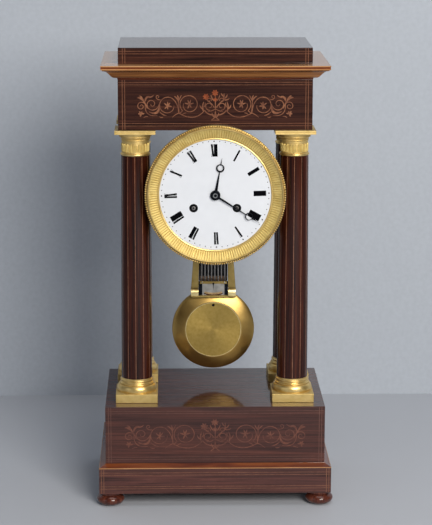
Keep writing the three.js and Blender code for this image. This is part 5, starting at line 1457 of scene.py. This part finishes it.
def rod_row(count, y, material):
    """A row of upright rods between the crossbars, evenly spaced about the middle."""
    first = Matrix.Translation((-ROD_PITCH * (count - 1) / 2, y, 0))
    rod = round_bar(ROD_RADIUS, LOWER_BAR[0] + 0.5, UPPER_BAR[1] - 0.5, ROD_SIDES, first)
    return grown(rod, in_row, {"Count": count, "Step": (ROD_PITCH, 0, 0), "Material": material})


rods = rod_row(ROD_COUNT, SWING_Y, rod_steel)
# black rods behind the bright ones paint the shade in the gaps between them
shade_rods = rod_row(ROD_COUNT + 1, SWING_Y + SHADE_ROD_Y, black_steel)
middle_rod = round_bar(ROD_RADIUS, iron_low.z / MM, LOWER_BAR[0] + 1, ROD_SIDES,
                       Matrix.Translation((0, SWING_Y, 0)))
stem = block((-STEM_HALF, SWING_Y - STEM_HALF, (UPPER_BAR[1] - 2) * MM),
             (STEM_HALF, SWING_Y + STEM_HALF, iron_high.z))
piece("compensation_rods", "pendulum_body",
      [(rods, rod_steel), (middle_rod, rod_steel), (stem, rod_steel), (shade_rods, black_steel)],
      ["gridiron"])
upper_bar = block((iron_low.x, iron_low.y, UPPER_BAR[0] * MM), (iron_high.x, iron_high.y, UPPER_BAR[1] * MM))
lower_bar = block((iron_low.x, SWING_Y - 0.6 * MM, LOWER_BAR[0] * MM),
                  (iron_high.x, SWING_Y + 2.5 * MM, LOWER_BAR[1] * MM))
piece("gridiron_bars", "pendulum_body", [(upper_bar, bar_brass), (lower_bar, bar_brass)])
print(ROD_COUNT, "bright rods and", ROD_COUNT + 1, "dark ones between two bars")

# %% [markdown]
# The bob was turned on a lathe, and so it is here: the lens, the disc and the disc's edge are three
# outlines turned about one axis, and the edge is a pale brass that paints a highlight. A plug then bores
# the small hole in the disc, over a black disc that paints the shade inside the hole.

# %% Bob
bob_low, bob_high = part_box("bob")
bob_centre = middle_of("bob")
bob_radius = (bob_high.x - bob_low.x) / 2 / MM
bob_half = (bob_high.y - bob_low.y) / 2 / MM
DISC_RADIUS = 31.3
DISC_STEP = 0.7
DISC_EDGE = 0.9
RIM_HALF = 1.6
LENS_STEPS = 20
BOB_SIDES = 120
PIN_HOLE_RADIUS = 1.6
PIN_HOLE_HEIGHT = 28.0
lens_top = bob_half - DISC_STEP


def lens(radius):
    """Half thickness of the lens outside the disc."""
    share = (bob_radius - radius) / (bob_radius - DISC_RADIUS)
    return RIM_HALF + (lens_top - RIM_HALF) * share ** 0.72


lens_radii = [bob_radius - (bob_radius - DISC_RADIUS) * (step / LENS_STEPS) ** 1.6
              for step in range(LENS_STEPS + 1)]
front = [(radius, lens(radius)) for radius in lens_radii]
back = [(radius, -lens(radius)) for radius in reversed(lens_radii)]
rim = [(bob_radius, -RIM_HALF * 0.6), (bob_radius, RIM_HALF * 0.6)]
lens_outline = [(0, -lens_top)] + back[:-1] + rim + front[1:]
lens_outline += [(DISC_RADIUS - 1.5, lens_top), (0, lens_top)]
disc_outline = [(0, lens_top - 1.0), (DISC_RADIUS, lens_top - 1.0), (DISC_RADIUS, bob_half - 0.7),
                (DISC_RADIUS - 0.6, bob_half - 0.1), (0, bob_half - 0.1)]
edge_outline = [(DISC_RADIUS - DISC_EDGE, bob_half), (DISC_RADIUS - DISC_EDGE, bob_half - DISC_EDGE),
                (DISC_RADIUS + 0.05, bob_half - DISC_EDGE), (DISC_RADIUS + 0.05, bob_half - 0.5),
                (DISC_RADIUS - 0.3, bob_half)]
stand = facing(bob_centre.x, bob_centre.y, bob_centre.z)
hole_stand = facing(bob_centre.x, bob_low.y, bob_centre.z + PIN_HOLE_HEIGHT * MM)
hole_plug = round_bar(PIN_HOLE_RADIUS, -2, 4, 20, hole_stand)
# a black disc under the pin hole paints the shade inside it
pin_hole_shade = round_bar(PIN_HOLE_RADIUS, -1.6, -0.6, 20, hole_stand)
disc_mesh = bored(turned(disc_outline, BOB_SIDES, stand), [hole_plug])
piece("pendulum_bob", "pendulum_body",
      [(turned(lens_outline, BOB_SIDES, stand), bob_brass), (disc_mesh, disc_brass),
       (turned(edge_outline, BOB_SIDES, stand, ring=True), highlight_brass), (pin_hole_shade, black_steel)],
      ["bob"], 30)
print("bob radius in mm:", round(bob_radius, 1))

# %% [markdown]
# The stirrup is cut from sheet brass. Its straps flare downwards and bend forward over a rail. The bend
# is a pale brass, a painted highlight where it catches the light, and the straps above it a darker brass,
# partly tarnish and partly painted shade from the bezel. Each strap is a loft: a small rectangle at every
# height, with a skin drawn over them.

# %% Stirrup
STRAP_TOP, STRAP_FOOT = 6.6, 8.6
STRAP_THICKNESS = 1.5
FLARE_HEIGHT = 249.4
RAIL_HEIGHT = 2.9
BEND_RADIUS = 8.0
BEND_TILT = 48
BEND_FOOT = 211.7
BEND_STEPS = 8
stirrup_low, stirrup_high = [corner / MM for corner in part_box("stirrup")]
strap_y = stirrup_high.y - STRAP_THICKNESS
strap_edge, bend_edge = stirrup_high.x - 2.8, stirrup_high.x - 0.2
bend_y = strap_y - BEND_RADIUS * (1 - math.cos(math.radians(BEND_TILT)))
crease_z = BEND_FOOT + BEND_RADIUS * math.sin(math.radians(BEND_TILT))
strap_path = [
    # outer edge, width, front face and height: straight, then flared
    (strap_edge, STRAP_TOP, strap_y, stirrup_high.z),
    (strap_edge, STRAP_TOP, strap_y, FLARE_HEIGHT),
    (stirrup_high.x - 0.5, STRAP_FOOT - 0.2, strap_y, crease_z - 0.1),
]
bend_path = []
for step in range(BEND_STEPS + 1):
    # bent forward over the rail: tilted at the crease and upright at the foot
    tilt = math.radians(BEND_TILT * (1 - step / BEND_STEPS))
    bend_path.append((bend_edge, STRAP_FOOT, bend_y + BEND_RADIUS * (1 - math.cos(tilt)),
                      BEND_FOOT + BEND_RADIUS * math.sin(tilt)))
bend_path.append((bend_edge, STRAP_FOOT, bend_y, stirrup_low.z + RAIL_HEIGHT - 0.8))
# the upper straps' darker brass is partly tarnish and partly painted shade under the bezel, and the bends'
# pale brass is a painted highlight
straps = []
for side in (-1, 1):
    for path, brass in ((strap_path, tarnish_shade_brass), (bend_path, highlight_brass)):
        rows = []
        for outer, width, front, z in path:
            near, far = side * outer, side * (outer - width)
            behind = front + STRAP_THICKNESS
            section = ((near, front), (far, front), (far, behind), (near, behind))
            rows.append([(x * MM, y * MM, z * MM) for x, y in section])
        straps.append((eased(lofted(rows), 0.2, 1, 50), brass))
rail_half = stirrup_high.x - 0.1
rail = block((-rail_half * MM, (bend_y - 0.15) * MM, stirrup_low.z * MM),
             (rail_half * MM, stirrup_high.y * MM, (stirrup_low.z + RAIL_HEIGHT) * MM), 0.9)
piece("stirrup_frame", "pendulum_body", straps + [(rail, tarnish_shade_brass)], ["stirrup"], 25)
print("stirrup width in mm:", round(2 * stirrup_high.x, 1))

# %% [markdown]
# The indicator is a silvered plate before a black sheet that paints the shade beside it, under a bar held
# by two screws. Its scale is an arc of copper with a dark edge that paints the shadow under the plate's
# curved foot, and short ticks, all of it inlay. The needle moves on a body of its own.

# %% Indicator and needle
plate_low, plate_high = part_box("indicator_plate")
needle_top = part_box("indicator_needle")[1].z
PLATE_HALF, SHADE_SHEET_HALF = 12.4 * MM, 16.2 * MM
SHADE_SHEET_THICKNESS = 0.8 * MM
TOP_BAR = 2.8 * MM
BAR_RISE = 0.2 * MM
SCREW_PLACE = 12.6 * MM
SCALE_CENTRE = 13.4
SCALE_RADIUS = 26.6
SCALE_FROM, SCALE_TO = 247, 293
TICK_FROM, TICK_TO = 251, 289
TICK_STEPS = 10
plate_foot = (stirrup_low.z + RAIL_HEIGHT - 0.4) * MM
plate = block((-PLATE_HALF, plate_low.y, plate_foot), (PLATE_HALF, plate_high.y, plate_high.z), 0.25)
# a black sheet wider than the plate paints the shade at its sides
shade_sheet = block((-SHADE_SHEET_HALF, plate_high.y, plate_foot),
                   (SHADE_SHEET_HALF, plate_high.y + SHADE_SHEET_THICKNESS, plate_high.z), 0.1)
bar_face = plate_low.y - BAR_RISE
top_bar = block((plate_low.x, bar_face, plate_high.z - TOP_BAR),
                (plate_high.x, plate_high.y, plate_high.z), 0.15)
screw = turned([(0, 0), (0.75, 0), (0.75, 0.1), (0.5, 0.25), (0, 0.3)], 16)
screws = [(placed(screw, facing(x, bar_face, plate_high.z - TOP_BAR / 2)), steel)
          for x in (-SCREW_PLACE, SCREW_PLACE)]
scale_middle = (0, SCALE_CENTRE)
copper_arc = [(arc(scale_middle, SCALE_RADIUS - 1.6, SCALE_FROM, SCALE_TO, 24), (0.9, 1.5, 0.9))]
# the dark arc paints the shadow under the plate's curved foot, and the ticks are the scale's marks
ticks_and_shadow_arc = [(arc(scale_middle, SCALE_RADIUS, SCALE_FROM, SCALE_TO, 24), (0.6, 0.75, 0.6))]
for tick in range(TICK_STEPS + 1):
    angle = math.radians(TICK_FROM + (TICK_TO - TICK_FROM) * tick / TICK_STEPS)
    ends = [(radius * math.cos(angle), SCALE_CENTRE + radius * math.sin(angle))
            for radius in (SCALE_RADIUS - 2.2, SCALE_RADIUS - 0.8)]
    ticks_and_shadow_arc.append((ends, (0.13,) * 3))
on_plate = facing(0, plate_low.y - 0.03 * MM, needle_top - 1.1 * MM)
piece("indicator_dial", "pendulum_body",
      [(plate, silvered), (shade_sheet, black_steel), (top_bar, tarnish_shade_brass),
       (placed(inlaid(copper_arc, copper), on_plate), copper),
       (placed(inlaid(ticks_and_shadow_arc, dark_red_and_shadow_enamel), on_plate), dark_red_and_shadow_enamel)] + screws, ["indicator_plate"])
needle = dressed("indicator_needle", 0.08, 2)
piece("indicator_pointer", "needle_body", [(needle, black_steel)], ["indicator_needle"])
print("indicator scale has", TICK_STEPS + 1, "ticks")

# %% [markdown]
# ## Movement
# A brass drum holds the movement, and its back shows the plate, the count wheel, the bell and its
# hammer. The bell is turned afresh. The drum and the small parts are eased copies, and the wheels
# inside keep their solids and only get their metal. The winding arbors are a dark steel that paints the
# shade in their holes in the dial, and each gets a bright end with a black disc that paints the shade of
# its centre hole.

# %% Drum, bell and back parts
piece("drum_case", "case", [(dressed("movement_drum", 0.3, 2), plate_brass)], ["movement_drum"], 30)
bell_low, bell_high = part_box("bell")
bell_centre = middle_of("bell")
bell_radius = (bell_high.x - bell_low.x) / 2 / MM
bell_depth = (bell_high.y - bell_low.y) / MM
BELL_WALL = 1.6
BELL_BORE = 1.9
BELL_STEPS = 24


def bell_face(radius, depth):
    """One face of the bell from its mouth to its bore: a quarter of an ellipse."""
    rises = [math.radians(90 * step / BELL_STEPS) for step in range(BELL_STEPS)]
    rings = [(max(radius * math.cos(rise), BELL_BORE), depth * math.sin(rise)) for rise in rises]
    return rings + [(BELL_BORE, depth)]


inside = bell_face(bell_radius - BELL_WALL, bell_depth - BELL_WALL)
bell_stand = Matrix.Translation((bell_centre.x, bell_low.y, bell_centre.z))
bell_mesh = turned(bell_face(bell_radius, bell_depth) + inside[::-1], 96,
                   bell_stand @ Matrix.Rotation(-math.pi / 2, 4, "X"), ring=True)
piece("bell_cup", "case", [(bell_mesh, bell_bronze)], ["bell"], 40)
for node, body, slot, material, width in (
        ("back_plate", "case", "brass", plate_brass, 0.25), ("bell_stand", "case", "steel", steel, 0.2),
        ("suspension_cock", "case", "brass", plate_brass, 0.3),
        ("suspension_spring", "case", "steel", steel, 0.1),
        ("hammer", "hammer_body", "steel", steel, 0.2), ("crutch", "pallet_body", "steel", steel, 0.15),
        ("count_wheel", "second_wheel_body", "brass", plate_brass, 0.1)):
    piece(node + "_dressed", body, [(dressed(node, width, 2), material)], [node], 50)
print("bell radius in mm:", round(bell_radius, 1))

# %% Inner parts and winding arbors
# the winding arbors get a dark steel that paints the shade inside the dial's winding holes
KEPT = {
    plate_brass: ("front_plate", "going_barrel", "intermediate_wheel", "centre_wheel", "third_wheel",
                  "escape_wheel", "strike_barrel", "strike_second_wheel", "pin_wheel", "fly",
                  "minute_wheel", "hour_wheel"),
    steel: ("going_mainspring", "pallet_anchor", "strike_mainspring", "cannon_pinion"),
    hole_shade_steel: ("going_winding_arbor", "strike_winding_arbor"),
}
for material, nodes in KEPT.items():
    for node in nodes:
        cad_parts[node].data.materials.clear()
        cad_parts[node].data.materials.append(material)
ARBOR_END = 2.1
CENTRE_SHADE_RADIUS = 1.0
END_OUTLINE = [(0, -0.2), (ARBOR_END, -0.2), (ARBOR_END - 0.1, 0.05), (CENTRE_SHADE_RADIUS, 0.1), (0, 0.1)]
for train in TRAINS:
    node = train + "_winding_arbor"
    middle = middle_of(node)
    stand = facing(middle.x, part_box(node)[0].y, middle.z)
    # a black disc paints the shade of the arbor's centre hole
    centre_shade = round_bar(CENTRE_SHADE_RADIUS, -0.2, 0.12, 24, stand)
    piece(train + "_arbor_end", train + "_winding_body",
          [(turned(END_OUTLINE, 32, stand), rod_steel), (centre_shade, black_steel)])
print("movement dressed;", sum(len(nodes) for nodes in KEPT.values()), "inner nodes keep their solids")
